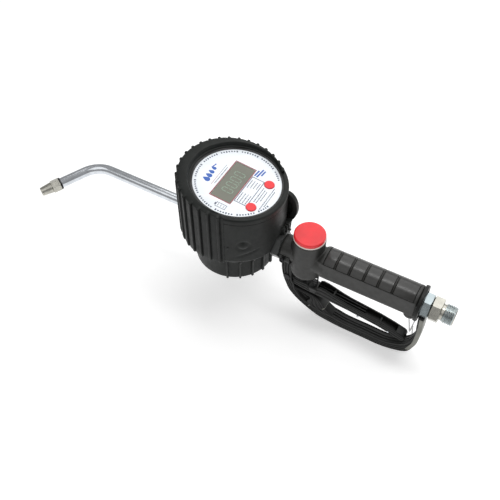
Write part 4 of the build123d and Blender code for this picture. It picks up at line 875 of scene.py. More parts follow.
class OILGUN_OT_dial(bpy.types.Operator):
    """Dial: film, prints, display and digits, case rim and the two buttons"""

    bl_idname = "oil_gun.dial"
    bl_label = "Dial and buttons"
    bl_options = {"REGISTER", "UNDO"}

    def execute(self, context):
        sizes = context.scene.oil_gun_dial
        body = NODE_BODIES["dial_face"]
        thick = sizes.print_thickness / MM
        softened_copy("dial_face", "dial_film", 0.06)
        softened_copy("counter_case", "case_plastic", 0.25)
        for name, shape, material in zip(("print_grey", "print_blue", "print_red"), dial_prints(sizes),
                                         ("print_grey", "print_blue", "print_red")):
            finished(shape, name, [], material, body)
        digits = bmesh.new()
        digit_step = 8.4
        for index, character in enumerate("0000"):
            add_digit(digits, character, WINDOW_DOWN + 0.6, WINDOW_RIGHT - 12.6 + digit_step * index,
                      4.9, 11.5, 1.15, -0.40, thick)
        add_mark(digits, WINDOW_DOWN + 6.6, WINDOW_RIGHT - 12.6 + digit_step * 1.5, 1.3, 1.3, -0.40, thick)
        finished(digits, "display_digits", [], "display_digit", body)
        for node in ("reset_button", "function_button"):
            add_button(node, "signal_red")
        return {"FINISHED"}


# ---- handle --------------------------------------------------------------------------------------
class HandleSizes(bpy.types.PropertyGroup):
    """Sizes of the handle's castings and grip panel."""

    casting_round: IntProperty(
        name="Casting rounds", description="Smoothing passes where two cast shapes meet", default=5,
        min=0, max=20)
    casting_cell: FloatProperty(
        name="Casting cell", description="Cell of the grid that joins the cast shapes", unit="LENGTH",
        default=0.0008, min=0.0004, max=0.002)
    groove_width: FloatProperty(
        name="Groove width", description="Width of one line of a double grip groove", unit="LENGTH",
        default=0.0008, min=0.0002, max=0.002)
    groove_depth: FloatProperty(
        name="Groove depth", description="Depth of the grip grooves", unit="LENGTH", default=0.0009,
        min=0.0002, max=0.0014)
    cap_round: FloatProperty(
        name="Cap rounding", description="Rounding of the red cap's edge", unit="LENGTH",
        default=0.0017, min=0.0002, max=0.003)


def grip_outline(radius, half_width, floor):
    """Section of the grip: a dome between flat flanks, as (y, z) points."""
    corner = math.acos(half_width / radius)
    count = 28
    dome = []
    for step in range(count + 1):
        angle = corner + (math.pi - 2 * corner) * step / count
        dome.append((radius * math.cos(angle), radius * math.sin(angle), 0))
    base = rounded([dome[-1], (-half_width, floor, 4.0), (half_width, floor, 4.0), dome[0]], 4.0, 5)
    return [Vector(point[:2]) for point in dome] + base[1:-1]


def grip_row(x, shrink=0.0):
    """One section of the grip at a station, drawn in all round by shrink."""
    return [Vector((x, point.x * (1 - shrink / 14.0), point.y * (1 - shrink / 16.0)))
            for point in grip_outline(GRIP_R, 13.4, -12.0)]


def handle_casting(sizes):
    """Cast handle: grip, saddle, turret, neck and rear lug, joined with cast fillets."""
    bm = bmesh.new()
    rows = [grip_row(GRIP_FRONT - 6.0, 5.0), grip_row(GRIP_FRONT - 3.0, 2.2), grip_row(GRIP_FRONT, 0.5),
            grip_row(GRIP_FRONT + 1.5), grip_row(GRIP_END - 1.2), grip_row(GRIP_END, 0.9)]
    add_mesh(bm, skinned(rows))
    turret = rounded([(-24.0, 0), (-24.0, TURRET_R - 1.0, 1.2), (-20.0, TURRET_R, 2.0),
                      (TURRET_TOP, TURRET_R, 0.6), (TURRET_TOP, 0)], 1.0)
    add_mesh(bm, turned(turret, Vector((TURRET_X, 0, 0)), Z_AXIS, X_AXIS))
    neck_r, collar_r = 13.5, 14.5
    neck = rounded([(NECK_X, 0), (NECK_X, neck_r, 0.9), (TURRET_X - 6.0, neck_r, 0), (TURRET_X, collar_r, 0),
                    (GRIP_FRONT + 4.0, collar_r, 0), (GRIP_FRONT + 4.0, 0)], 1.0)
    add_mesh(bm, turned([(point.x, point.y) for point in neck], Vector((0, 0, 0)), X_AXIS, Z_AXIS))
    add_ball(bm, Vector((TURRET_X + TURRET_R + 1.6, 0, 10.2)), 7.2)
    add_rod(bm, Vector((TURRET_X + 4.0, 0, 8.0)), Vector((GRIP_FRONT + 2.0, 0, 6.0)), 9.0, 12.0)
    lug_x = GRIP_END - 6.0
    for z in (-12.0, -17.0, -20.0):
        add_rod(bm, Vector((lug_x, -6.0, z)), Vector((lug_x, 6.0, z)), 6.0, segments=48)
    add_block(bm, Vector((lug_x, 0, -15.0)), X_AXIS, Y_AXIS, Z_AXIS, (12.0, 12.0, 10.0))
    return bm


def panel_row(x, drop, lift=0.0):
    """Section of the grip panel: an arc of the dome, with its edges turned down."""
    half_angle = math.radians(47.6)
    inner_r = GRIP_R - 1.5
    points = []
    count = 32
    for step in range(count + 1):
        share = 2 * step / count - 1
        edge = max(0.0, abs(share) - 0.93) / 0.07
        radius = GRIP_R + lift - drop - 0.7 * edge * edge
        angle = math.pi / 2 - share * half_angle
        points.append(Vector((x, radius * math.cos(angle), radius * math.sin(angle))))
    for step in range(9):
        angle = math.pi / 2 - (1 - step / 4) * half_angle
        points.append(Vector((x, inner_r * math.cos(angle), inner_r * math.sin(angle))))
    return points


def grip_panel(sizes):
    """Glossy panel let into the grip, with five double grooves across it."""
    start, end = span("grip_panel")[0].x, span("grip_panel")[1].x
    width, depth = sizes.groove_width / MM, sizes.groove_depth / MM
    rows = [panel_row(start, 0.8), panel_row(start + 0.4, 0.25), panel_row(start + 1.0, 0.0)]
    grooves, pitch, first = 5, 15.6, 12.6
    for groove in range(grooves):
        for line in (-0.95, 0.95):
            middle = start - 0.1 + first + groove * pitch + 0.5 + line
            rows += [panel_row(middle - width * 0.8, 0.0), panel_row(middle - width * 0.4, depth * 0.8),
                     panel_row(middle, depth), panel_row(middle + width * 0.4, depth * 0.8),
                     panel_row(middle + width * 0.8, 0.0)]
            if line < 0:
                rows.append(panel_row(middle + 0.95, 0.12))
    rows += [panel_row(end - 1.0, 0.0), panel_row(end - 0.4, 0.25), panel_row(end, 0.8)]
    return skinned(rows)


def panel_recess():
    """Space of the recess that the grip panel lies in, a little wider than the panel."""
    start, end = span("grip_panel")[0].x - 0.3, span("grip_panel")[1].x + 0.3
    half_angle, rows = math.radians(48.6), []
    for step in range(33):
        angle = math.pi / 2 + half_angle * (step / 16 - 1)
        out = Vector((0, math.cos(angle), math.sin(angle)))
        rows.append([Vector((x, 0, 0)) + out * radius for x, radius in (
            (start, GRIP_R - 1.4), (end, GRIP_R - 1.4), (end, GRIP_R + 2.0), (start, GRIP_R + 2.0))])
    return skinned(rows)


class OILGUN_OT_handle(bpy.types.Operator):
    """Handle: cast body, grip panel, red cap and the light ring under it"""

    bl_idname = "oil_gun.handle"
    bl_label = "Handle and cap"
    bl_options = {"REGISTER", "UNDO"}

    def execute(self, context):
        sizes = context.scene.oil_gun_handle
        piece = finished(handle_casting(sizes), "handle_casting", ["handle_body"], "handle_coating")
        remesh = piece.modifiers.new("join", "REMESH")
        remesh.mode = "VOXEL"
        remesh.voxel_size = sizes.casting_cell
        remesh.use_smooth_shade = True
        smooth = piece.modifiers.new("round", "SMOOTH")
        smooth.factor = 0.5
        smooth.iterations = sizes.casting_round
        apply_modifiers(piece)
        socket = bmesh.new()
        add_rod(socket, Vector((GRIP_END - 15.0, 0, 0)), Vector((GRIP_END + 3.0, 0, 0)), 10.0, segments=64)
        add_rod(socket, Vector((NECK_X - 2.0, 0, 0)), Vector((NECK_X + 8.0, 0, 0)), 9.0, segments=64)
        cut_away(piece, socket)
        cut_away(piece, panel_recess())
        finished(grip_panel(sizes), "grip_panel_finished", ["grip_panel"], "grip_panel")
        low, high = span("valve_cap")
        cap_r, top = (high.y - low.y) / 2, high.z
        rim = span("cap_ring")[1].z
        cap = rounded([(rim, 0), (rim, cap_r - 0.35, 0.3), (rim + 0.6, cap_r, 0.4),
                       (top - 0.25, cap_r, sizes.cap_round / MM), (top, cap_r * 0.7, 3.0), (top, 0)], 0.3, 6)
        finished(turned(cap, Vector((TURRET_X, 0, 0)), Z_AXIS, X_AXIS), "valve_cap_finished",
                 ["valve_cap"], "signal_red")
        ring_r = (span("cap_ring")[1].y - span("cap_ring")[0].y) / 2
        band = rounded([(TURRET_TOP, 13.0), (TURRET_TOP, ring_r, 0.4), (rim, ring_r, 0.4), (rim, 13.0)],
                       0.1, 4, closed=True)
        finished(turned(band, Vector((TURRET_X, 0, 0)), Z_AXIS, X_AXIS, closed=True), "cap_ring_finished",
                 ["cap_ring"], "natural_nylon")
        return {"FINISHED"}


# ---- trigger, guard and latch --------------------------------------------------------------------
class TriggerSizes(bpy.types.PropertyGroup):
    """Sizes of the trigger lever, its guard and the wires."""

    wall: FloatProperty(
        name="Lever wall", description="Thickness of the lever's side walls", unit="LENGTH",
        default=0.0018, min=0.0008, max=0.004)
    rib: FloatProperty(
        name="Moulded rib", description="Height of the ribs along the guard's sides", unit="LENGTH",
        default=0.0013, min=0.0, max=0.002)
    edge: FloatProperty(
        name="Moulded edge", description="Rounding of moulded edges", unit="LENGTH",
        default=0.0008, min=0.0002, max=0.002)
    wire: FloatProperty(
        name="Latch wire radius", description="Radius of the latch wire", unit="LENGTH",
        default=0.0006, min=0.0004, max=0.002)
    coils: IntProperty(
        name="Spring coils", description="Coils of the return spring", default=6, min=3, max=14)


def swept(path, radius, count=20, closed=False, caps=True):
    """Round wire along a path of points, with its turn carried from point to point."""
    rows, side = [], None
    last = len(path) - 1
    for index, point in enumerate(path):
        if closed:
            ahead = path[(index + 1) % len(path)] - path[index - 1]
        else:
            ahead = path[min(index + 1, last)] - path[max(index - 1, 0)]
        ahead.normalize()
        if side is None:
            side = ahead.orthogonal().normalized()
        side = (side - ahead * side.dot(ahead)).normalized()
        up = ahead.cross(side)
        size = radius(index / last) if callable(radius) else radius
        rows.append(ring(point, side, up, size, count))
    return skinned(rows, closed_rows=closed, capped=caps)


def bent_path(points, bend_r, steps=6):
    """Path whose corners are rounded in space."""
    path = [points[0]]
    for before, here, after in zip(points, points[1:], points[2:]):
        reach = min(bend_r, 0.45 * (here - before).length, 0.45 * (after - here).length)
        start = here + (before - here).normalized() * reach
        end = here + (after - here).normalized() * reach
        for step in range(steps + 1):
            share = step / steps
            path.append(start.lerp(here, share).lerp(here.lerp(end, share), share))
    path.append(points[-1])
    return path


def helix(start, end, radius, coils, wire_r, steps=28, squared=0.6):
    """Coil spring between two points, with closed coils at both ends."""
    axis = (end - start).normalized()
    side = axis.orthogonal().normalized()
    up = axis.cross(side)
    length = (end - start).length - 2 * wire_r
    path = []
    total = coils * steps
    for step in range(total + 1):
        turn = step / steps
        lead = min(turn, squared) * 2 * wire_r / max(squared, 0.01) * 0.55
        tail = min(coils - turn, squared) * 2 * wire_r / max(squared, 0.01) * 0.55
        share = (turn - squared) / (coils - 2 * squared)
        share = max(0.0, min(1.0, share))
        rise = wire_r + lead + share * (length - 2 * 2 * wire_r * 0.55) + (2 * wire_r * 0.55 - tail)
        angle = 2 * math.pi * turn
        path.append(start + axis * rise + (side * math.cos(angle) + up * math.sin(angle)) * radius)
    return swept(path, wire_r, 12)


def ribbed_band(stations, half_width, rib, edge):
    """Moulded band through (outer, inner) points, ribbed along its sides and its inner face."""
    groove = 1 - rib / half_width
    flank = [(0.0, 1.0), (0.10, 1.0), (0.16, groove), (0.22, 1.0), (0.36, 1.0), (0.42, groove), (0.48, 1.0),
             (0.62, 1.0), (0.68, groove), (0.74, 1.0), (1.0, 1.0)]
    face = [(1.0, 0.84), (0.91, 0.76), (0.91, 0.38), (1.0, 0.30), (1.0, 0.16), (0.91, 0.08)]
    half = flank + face
    section = rounded(half + [(share, -side) for share, side in reversed(half)], 0.03, 2, closed=True)
    control = [[Vector((outer[0], 0, outer[1])), Vector((inner[0], 0, inner[1]))]
               for outer, inner in stations]
    rows = []
    for outer, inner in smooth_rows(control, 6):
        thick = (inner - outer).length
        row = []
        for point in section:
            side = half_width * point.y
            share = max(0.0, min(1.0, point.x))
            corner = min(share, 1 - share) * thick
            if corner < edge and abs(point.y) > 0.95:
                side -= math.copysign(edge - math.sqrt(max(0.0, edge ** 2 - (edge - corner) ** 2)), side)
            place = outer.lerp(inner, share) + Y_AXIS * side
            place.z = max(place.z, cad_low.z / MM)
            row.append(place)
        rows.append(row)
    return skinned(rows)


def guard_bands(sizes):
    """Hoop of the guard and the gusset behind the pivot."""
    n, r = NECK_X, RING_X
    hoop = [
        ((n + 0.3, -14.5), (n + 13, -14.5)), ((n + 0.3, -30), (n + 13, -30)),
        ((n + 3, -45), (n + 13.5, -45)), ((n + 7, -56), (n + 17, -53)), ((n + 12, -66), (n + 19, -61)),
        ((n + 25, -78), (n + 30, -72.5)), ((n + 45, -89), (n + 52, -79)),
        ((n + 60, -92.3), (n + 66, -79.5)), ((n + 78, -94), (n + 82, -82.5)),
        ((r - 50, -94), (r - 50, -82.5)), ((r - 32, -94), (r - 28, -82.5)),
        ((r - 14, -90), (r - 12, -76)), ((r - 1, -83), (r - 3, -67)), ((r + 5, -68), (r + 1, -55)),
        ((r + 7.2, -50), (r + 2, -44)), ((r + 7.2, -33), (r + 1, -32)), ((r + 6.2, -16), (r, -16)),
    ]
    gusset = [
        ((n + 9, -53), (n + 11, -60)), ((n + 20, -56), (n + 20, -60)), ((n + 33, -57), (n + 33, -62)),
        ((n + 42, -58), (n + 37, -63)), ((n + 49, -62), (n + 37, -67)),
        ((n + 54, -68.5), (n + 34, -73)), ((n + 58, -74), (n + 38, -80)),
        ((n + 66, -79.5), (n + 50, -88)),
    ]
    rib, edge = sizes.rib / MM, sizes.edge / MM
    bm = ribbed_band(hoop, 6.5, rib, edge)
    add_mesh(bm, ribbed_band(gusset, 6.2, rib * 0.8, edge))
    return bm


def guard_clamps():
    """Clamp ring at the grip's end and the cradle under the neck."""
    ring_r, cradle_r, neck_r = 19.5, 16.5, 13.6
    profile = rounded([
        (GRIP_END + 0.1, 15.0), (GRIP_END + 0.1, ring_r, 0.9), (RING_X - 0.1, ring_r, 0.9),
        (RING_X - 0.1, 15.0)], 0.1, 4, closed=True)
    bm = turned(profile, Vector((0, 0, 0)), X_AXIS, Z_AXIS, closed=True)
    rows = []
    start, end = math.radians(182), math.radians(358)
    count = 44
    for step in range(count + 1):
        angle = start + (end - start) * step / count
        out = Vector((0, math.cos(angle), math.sin(angle)))
        fade = min(1.0, min(step, count - step) / 9)
        outer_r = neck_r + 0.5 + (cradle_r - neck_r - 0.5) * fade * fade * (3 - 2 * fade)
        outline = rounded([(NECK_X + 0.4, neck_r - 0.2), (NECK_X + 12.6, neck_r - 0.2),
                           (NECK_X + 12.6, outer_r), (NECK_X + 0.4, outer_r)], 0.3, 3, closed=True)
        rows.append([X_AXIS * point.x + out * point.y for point in outline])
    add_mesh(bm, skinned(rows))
    return bm


def lever_section(x, top, bottom, floor, half_width, wall, edge):
    """Channel section of the lever, open upwards to a floor, with moulded ribs along its flanks."""
    rib, inner, deep = 0.5, half_width - wall, top - bottom
    flank = [(-half_width + rib, top - 0.2 * deep), (-half_width + rib, top - 0.30 * deep),
             (-half_width, top - 0.34 * deep), (-half_width, top - 0.52 * deep),
             (-half_width + rib, top - 0.56 * deep), (-half_width + rib, top - 0.70 * deep),
             (-half_width, top - 0.74 * deep)]
    left = [(-inner, floor, 0.3), (-inner, top, 0.3), (-half_width, top, edge),
            (-half_width, top - 0.16 * deep, 0.2)] + [(y, z, 0.2) for y, z in flank]
    left.append((-half_width + 0.3, bottom, edge))
    right = [(-point[0], *point[1:]) for point in reversed(left)]
    return [Vector((x, point.x, point.y)) for point in rounded(left + right, 0.2, 3, closed=True)]


def lever_shape(sizes):
    """Trigger lever: moulded channel, cross webs in it, and the tongue on its pin."""
    half_width, wall, edge = 6.0, sizes.wall / MM, sizes.edge / MM
    reach = span("trigger_lever")[1].x - PIVOT.x
    solid = 36.0
    stations = [
        (8.0, 1.0, -8.0), (15.8, 0.0, -9.9), (24.6, 0.0, -11.0), (26.2, -2.0, -11.2), (solid, -2.5, -11.9),
        (solid + 0.8, 1.6, -12.0), (solid + 4.0, 3.4, -12.2), (46.0, 2.8, -12.7), (54.0, 0.4, -13.2),
        (64.0, -2.9, -13.9), (0.52 * reach, -5.2, -14.5), (0.65 * reach, -7.6, -16.8),
        (0.77 * reach, -10.0, -19.0), (0.88 * reach, -13.4, -22.6), (reach - 12.0, -14.8, -24.4),
        (reach - 10.6, -15.2, -24.9), (reach - 4.2, -17.0, -26.6), (reach - 1.8, -18.6, -26.0),
        (reach - 0.6, -20.4, -25.0), (reach - 0.1, -21.8, -24.0),
    ]
    rows = []
    for along, top, bottom in stations:
        hollow = solid < along < reach - 11
        floor = max(bottom + 3.6, top - 6.5) if hollow else top - 0.15
        rows.append(lever_section(PIVOT.x + along, PIVOT.z + top, PIVOT.z + bottom, PIVOT.z + floor,
                                  half_width - (0.5 if along > reach - 1 else 0), wall, edge))
    bm = skinned(rows)
    for along, top in ((56.0, -1.2), (86.0, -8.3), (112.0, -12.5)):
        add_block(bm, Vector((PIVOT.x + along, 0, PIVOT.z + top - 2.6)), X_AXIS, Y_AXIS, Z_AXIS,
                  (1.6, 2 * half_width - wall, 5.0))
    for y in (-1.9, 1.9):
        start, end = PIVOT + Vector((solid + 1, y, -3.4)), PIVOT + Vector((0.66 * reach, y, -9.8))
        along = (end - start).normalized()
        add_block(bm, (start + end) / 2, along, Y_AXIS, along.cross(Y_AXIS), ((end - start).length, 0.9, 4.6))
    tongue = bmesh.new()
    add_rod(tongue, PIVOT - Y_AXIS * 4.2, PIVOT + Y_AXIS * 4.2, 6.0, segments=64)
    add_block(tongue, PIVOT + Vector((5.5, 0, -3.4)), Vector((0.992, 0, -0.12)), Y_AXIS,
              Vector((0.12, 0, 0.992)), (10.0, 8.4, 8.6))
    soften(tongue, 0.5)
    add_mesh(bm, tongue)
    return bm


def lever_seat(sizes):
    """Block that seats the return spring, and bright cross pins in the lever."""
    block, pins = bmesh.new(), bmesh.new()
    seat = (span("return_spring")[0] + span("return_spring")[1]) / 2
    add_block(block, Vector((seat.x, 0, PIVOT.z - 3.9)), X_AXIS, Y_AXIS, Z_AXIS, (8.4, 13.2, 3.6))
    add_block(block, Vector((seat.x, 0, PIVOT.z - 7.2)), X_AXIS, Y_AXIS, Z_AXIS, (6.6, 12.9, 3.4))
    soften(block, 0.5)
    for along, drop in ((87.0, 17.4), (123.0, 20.9)):
        place = PIVOT + Vector((along, 0, -drop))
        add_rod(pins, place - Y_AXIS * 6.15, place + Y_AXIS * 6.15, 1.3, segments=24)
    soften(pins, 0.2)
    return block, pins


def guard_serrations():
    """Ribs across the gusset, under the spring."""
    bm = bmesh.new()
    for step in range(7):
        along = 24.0 + 3.4 * step
        place = Vector((NECK_X + along, 0, -56.7 - 0.05 * along - max(0.0, along - 38) * 0.6))
        add_rod(bm, place - Y_AXIS * 5.9, place + Y_AXIS * 5.9, 0.8, segments=16)
    return bm


def guard_clips():
    """Two small bright clips on the guard, where its shells are joined."""
    bm = bmesh.new()
    for along, z in ((37.5, -78.2), (55.0, -73.6)):
        place = Vector((NECK_X + along, 0, z))
        add_block(bm, place, Vector((0.8, 0, -0.6)), Y_AXIS, Vector((0.6, 0, 0.8)), (1.0, 13.4, 4.0))
    soften(bm, 0.25)
    return bm


def guard_leg_plate():
    """Light cover that wraps the guard's rear leg, facing the inlet."""
    rows = []
    control = [(1.4, -79.0), (6.3, -64.0), (7.42, -50.0), (7.45, -33.0), (6.6, -19.0)]
    for (outer,) in smooth_rows([[Vector((RING_X + x, 0, z))] for x, z in control], 6):
        section = rounded([(0.05, -6.75, 1.2), (0.05, 6.75, 1.2), (-4.6, 6.75, 0.1), (-4.6, 6.45, 0.1),
                           (-0.9, 6.3, 0.4), (-0.9, -6.3, 0.4), (-4.6, -6.45, 0.1), (-4.6, -6.75, 0.1)],
                          0.2, 3, closed=True)
        rows.append([outer + Vector((point.x, point.y, 0)) for point in section])
    return skinned(rows)


def pin_shape():
    """Trigger pin with a rounded head at each end."""
    half = (span("trigger_pin")[1].y - span("trigger_pin")[0].y) / 2
    profile = rounded([(-half, 0), (-half, 4.0, 0.6), (-half + 1.0, 4.0, 0), (-half + 1.0, 2.5, 0),
                       (half - 1.0, 2.5, 0), (half - 1.0, 4.0, 0), (half, 4.0, 0.6), (half, 0)], 0.1)
    return turned(profile, PIVOT, Y_AXIS, X_AXIS, 48)


def screw_shapes():
    """Two button-headed screws with a hexagon socket, through the cradle."""
    low, high = span("guard_screws")
    centre = (low + high) / 2
    bm = bmesh.new()
    for flank in (-1, 1):
        head = Vector((centre.x, flank * high.y, centre.z))
        inward = -flank * Y_AXIS
        profile = [(0.0, 0.0), (0.0, 1.9), (0.35, 2.6), (1.0, 2.98), (1.6, 3.0), (1.6, 1.5), (3.2, 1.5),
                   (3.2, 0.0)]
        shape = turned([(along, radius) for along, radius in profile[1:]] + [(3.2, 0.0)], head, inward,
                       X_AXIS, 40)
        socket = [edge for edge in shape.edges if edge.is_boundary]
        bmesh.ops.holes_fill(shape, edges=socket, sides=0)
        top = max(shape.faces, key=lambda face: -(face.calc_center_median() - head).dot(inward))
        pocket = bmesh.ops.inset_region(shape, faces=[top], thickness=0.4)
        bmesh.ops.translate(shape, vec=inward * 0.9, verts=top.verts)
        if pocket:
            bmesh.ops.recalc_face_normals(shape, faces=shape.faces)
        add_mesh(bm, shape)
    return bm


def latch_path():
    """Route of the latch wire, from its free hook round the lug to its far end."""
    y, drop, reach = 7.3, 22.0, 4.5
    return bent_path([
        LATCH + Vector((reach, -y + 2.0, -drop)), LATCH + Vector((reach, y, -drop)),
        LATCH + Vector((0, y, 0)), LATCH + Vector((0, -y, 0)), LATCH + Vector((reach, -y, -drop)),
        LATCH + Vector((reach + 1.5, -y, -0.45 * drop)), LATCH + Vector((1.7 * reach, -y, -1.06 * drop)),
    ], 1.6, 6)


class OILGUN_OT_trigger(bpy.types.Operator):
    """Trigger lever, guard with its gusset and clamps, screws, pin, return spring and latch wire"""

    bl_idname = "oil_gun.trigger"
    bl_label = "Trigger, guard and latch"
    bl_options = {"REGISTER", "UNDO"}

    def execute(self, context):
        sizes = context.scene.oil_gun_trigger
        guard_body, lever_body = NODE_BODIES["trigger_guard"], NODE_BODIES["trigger_lever"]
        finished(guard_bands(sizes), "guard_bands", ["trigger_guard"], "lever_plastic")
        for name, shape in (("guard_clamps", guard_clamps()), ("guard_serrations", guard_serrations())):
            finished(shape, name, [], "lever_plastic", guard_body)
        finished(guard_leg_plate(), "guard_leg_plate", [], "cover_grey", guard_body)
        finished(guard_clips(), "guard_clips", [], "cover_grey", guard_body)
        finished(lever_shape(sizes), "lever_moulding", ["trigger_lever"], "lever_plastic")
        block, pins = lever_seat(sizes)
        finished(block, "lever_seat", [], "case_plastic", lever_body)
        finished(pins, "lever_pins", [], "bright_plate", lever_body)
        finished(pin_shape(), "trigger_pin_finished", ["trigger_pin"], "black_oxide")
        finished(screw_shapes(), "guard_screws_finished", ["guard_screws"], "black_oxide")
        low, high = span("return_spring")
        centre = (low + high) / 2
        wire_r = 0.6
        coil_r = (high.x - low.x) / 2 - wire_r
        spring = helix(Vector((centre.x, 0, high.z)), Vector((centre.x, 0, low.z)), coil_r, sizes.coils,
                       wire_r)
        piece = finished(spring, "return_spring_coil", ["return_spring"], "black_oxide")
        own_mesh(piece)
        low, high = span("valve_spring")
        wire_r = 0.7
        coil = helix(Vector((TURRET_X, 0, high.z)), Vector((TURRET_X, 0, low.z)),
                     (high.x - low.x) / 2 - wire_r, sizes.coils, wire_r)
        piece = finished(coil, "valve_spring_coil", ["valve_spring"], "bright_steel")
        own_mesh(piece)
        finished(swept(latch_path(), sizes.wire / MM, 16), "latch_wire_finished", ["latch_wire"],
                 "bright_wire")
        return {"FINISHED"}


# ---- inlet fittings ------------------------------------------------------------------------------
class FittingSizes(bpy.types.PropertyGroup):
    """Sizes of the screw thread and the hexagons."""

    pitch: FloatProperty(
        name="Thread pitch", description="Distance between two thread crests", unit="LENGTH",
        default=0.001814, min=0.0005, max=0.004)
    thread_depth: FloatProperty(
        name="Thread depth", description="Depth of the thread", unit="LENGTH", default=0.00116,
        min=0.0002, max=0.002)
    corner: FloatProperty(
        name="Corner chamfer", description="Depth of the chamfer on a hexagon's corners", unit="LENGTH",
        default=0.0009, min=0.0002, max=0.003)
    knurls: IntProperty(
        name="Filter meshes", description="Rows of the inlet filter's mesh", default=14, min=4, max=40)


def threaded_nipple(sizes):
    """Swivel nipple: core of the thread, relief groove, hexagon and hollow stem."""
    core_r = THREAD_R - sizes.thread_depth / MM
    hex_start, nipple_x, flats = span("inlet_gland")[1].x + 0.5, -THREAD_LENGTH - 2.5, 24.0
    profile = [(-8.0, 6.2), (-0.9, 6.2), (-0.3, 6.6), (0.0, 7.2), (0.0, core_r - 0.6), (-0.6, core_r),
               (-THREAD_LENGTH + 0.3, core_r), (-THREAD_LENGTH, 8.5), (nipple_x, 8.5)]
    profile += hex_ends(hex_start, nipple_x, flats, sizes.corner / MM, 0.93)[::-1]
    profile += [(hex_start, 9.5), (hex_start, 7.6), (hex_start - 12.0, 7.6), (hex_start - 12.0, 6.2)]
    return machined(profile, Vector((0, 0, 0)), X_AXIS, Y_AXIS, flats, hollow=True)


def thread_ridge(sizes):
    """Helical ridge of the screw thread, fading in and out at its ends."""
    pitch, depth = sizes.pitch / MM, sizes.thread_depth / MM
    steps, rows = 72, []
    count = int((THREAD_LENGTH - 1.4) / pitch * steps)
    for step in range(count + 1):
        angle = 2 * math.pi * step / steps
        out = Vector((0, math.cos(angle), math.sin(angle)))
        x = -0.85 - pitch * step / steps
        fade = min(1.0, step / 30, (count - step) / 30)
        foot, crest = THREAD_R - depth - 0.15, THREAD_R - depth * (1 - fade) - 0.05
        rows.append([Vector((x + pitch * share, 0, 0)) + out * radius for share, radius in (
            (-0.46, foot), (-0.08, crest), (0.08, crest), (0.46, foot), (0.0, foot - 0.3))])
    return skinned(rows)


def gland_shape(sizes):
    """Gland: hexagon with a collar that screws into the handle."""
    low, high = span("inlet_gland")
    start, end = RING_X, high.x
    profile = [(start - 15.0, 8.4), (start - 15.0, 10.0), (start, 10.0)]
    profile += hex_ends(start, end, 24.0, sizes.corner / MM, 0.94)
    profile += [(end, 10.6), (end + 0.25, 10.2), (end + 0.25, 8.4)]
    return machined(profile, Vector((0, 0, 0)), X_AXIS, Y_AXIS, 24.0, hollow=True)


def coupling_shape(sizes):
    """Coupling nut between the meter and the gun."""
    low, high = span("coupling_nut")
    profile = [(low.x, 11.2)] + hex_ends(low.x, high.x, 30.0, sizes.corner / MM * 1.4, 0.92)
    profile += [(high.x, 9.2), (low.x + 6.0, 9.2), (low.x + 6.0, 11.2)]
    return machined(profile, Vector((0, 0, 0)), X_AXIS, Y_AXIS, 30.0, hollow=True)


def filter_shape(sizes):
    """Inlet filter: a rim and a basket of crossed wires."""
    low, high = span("inlet_filter")
    bm = bmesh.new()
    rim_r = (high.y - low.y) / 2
    profile = [(high.x, rim_r - 0.1), (high.x, 5.1), (high.x - 0.8, 5.1), (high.x - 0.8, rim_r - 0.1)]
    add_mesh(bm, turned(profile, Vector((0, 0, 0)), X_AXIS, Y_AXIS, 64, closed=True))
    for step in range(sizes.knurls):
        turn = 2 * math.pi * step / sizes.knurls
        out = Vector((0, math.cos(turn), math.sin(turn)))
        add_rod(bm, X_AXIS * low.x + out * 5.2, X_AXIS * (high.x - 0.4) + out * 5.2, 0.22, segments=8)
    hoops = 6
    for step in range(hoops):
        x = low.x + 0.4 + (high.x - low.x - 1.2) * step / (hoops - 1)
        hoop = ring(X_AXIS * x, Y_AXIS, Z_AXIS, 5.2, 48)
        add_mesh(bm, swept(hoop, 0.22, 8, closed=True))
    add_rod(bm, X_AXIS * low.x, X_AXIS * (low.x + 0.7), 5.4, segments=48)
    return bm


class OILGUN_OT_fittings(bpy.types.Operator):
    """Inlet gland, threaded swivel nipple with its filter, and the coupling nut"""

    bl_idname = "oil_gun.fittings"
    bl_label = "Inlet and coupling"
    bl_options = {"REGISTER", "UNDO"}

    def execute(self, context):
        sizes = context.scene.oil_gun_fittings
        finished(threaded_nipple(sizes), "swivel_nipple_finished", ["swivel_nipple"], "nickel_plate")
        finished(thread_ridge(sizes), "thread_ridge", [], "blue_zinc", NODE_BODIES["swivel_nipple"])
        finished(gland_shape(sizes), "inlet_gland_finished", ["inlet_gland"], "blue_zinc")
        finished(filter_shape(sizes), "inlet_filter_mesh", ["inlet_filter"], "bright_steel")
        finished(coupling_shape(sizes), "coupling_nut_finished", ["coupling_nut"], "nut_coating")
        return {"FINISHED"}


# ---- spout ---------------------------------------------------------------------------------------
class SpoutSizes(bpy.types.PropertyGroup):
    """Sizes of the spout tube and its nozzle."""

    bend_radius: FloatProperty(
        name="Bend radius", description="Radius of the tube's bend", unit="LENGTH", default=0.031,
        min=0.015, max=0.08)
    bend_steps: IntProperty(
        name="Bend steps", description="Rings along the tube's bend", default=48, min=8, max=120)
    mark_depth: FloatProperty(
        name="Nozzle groove", description="Depth of the dark groove behind the nozzle", unit="LENGTH",
        default=0.0006, min=0.0, max=0.002)


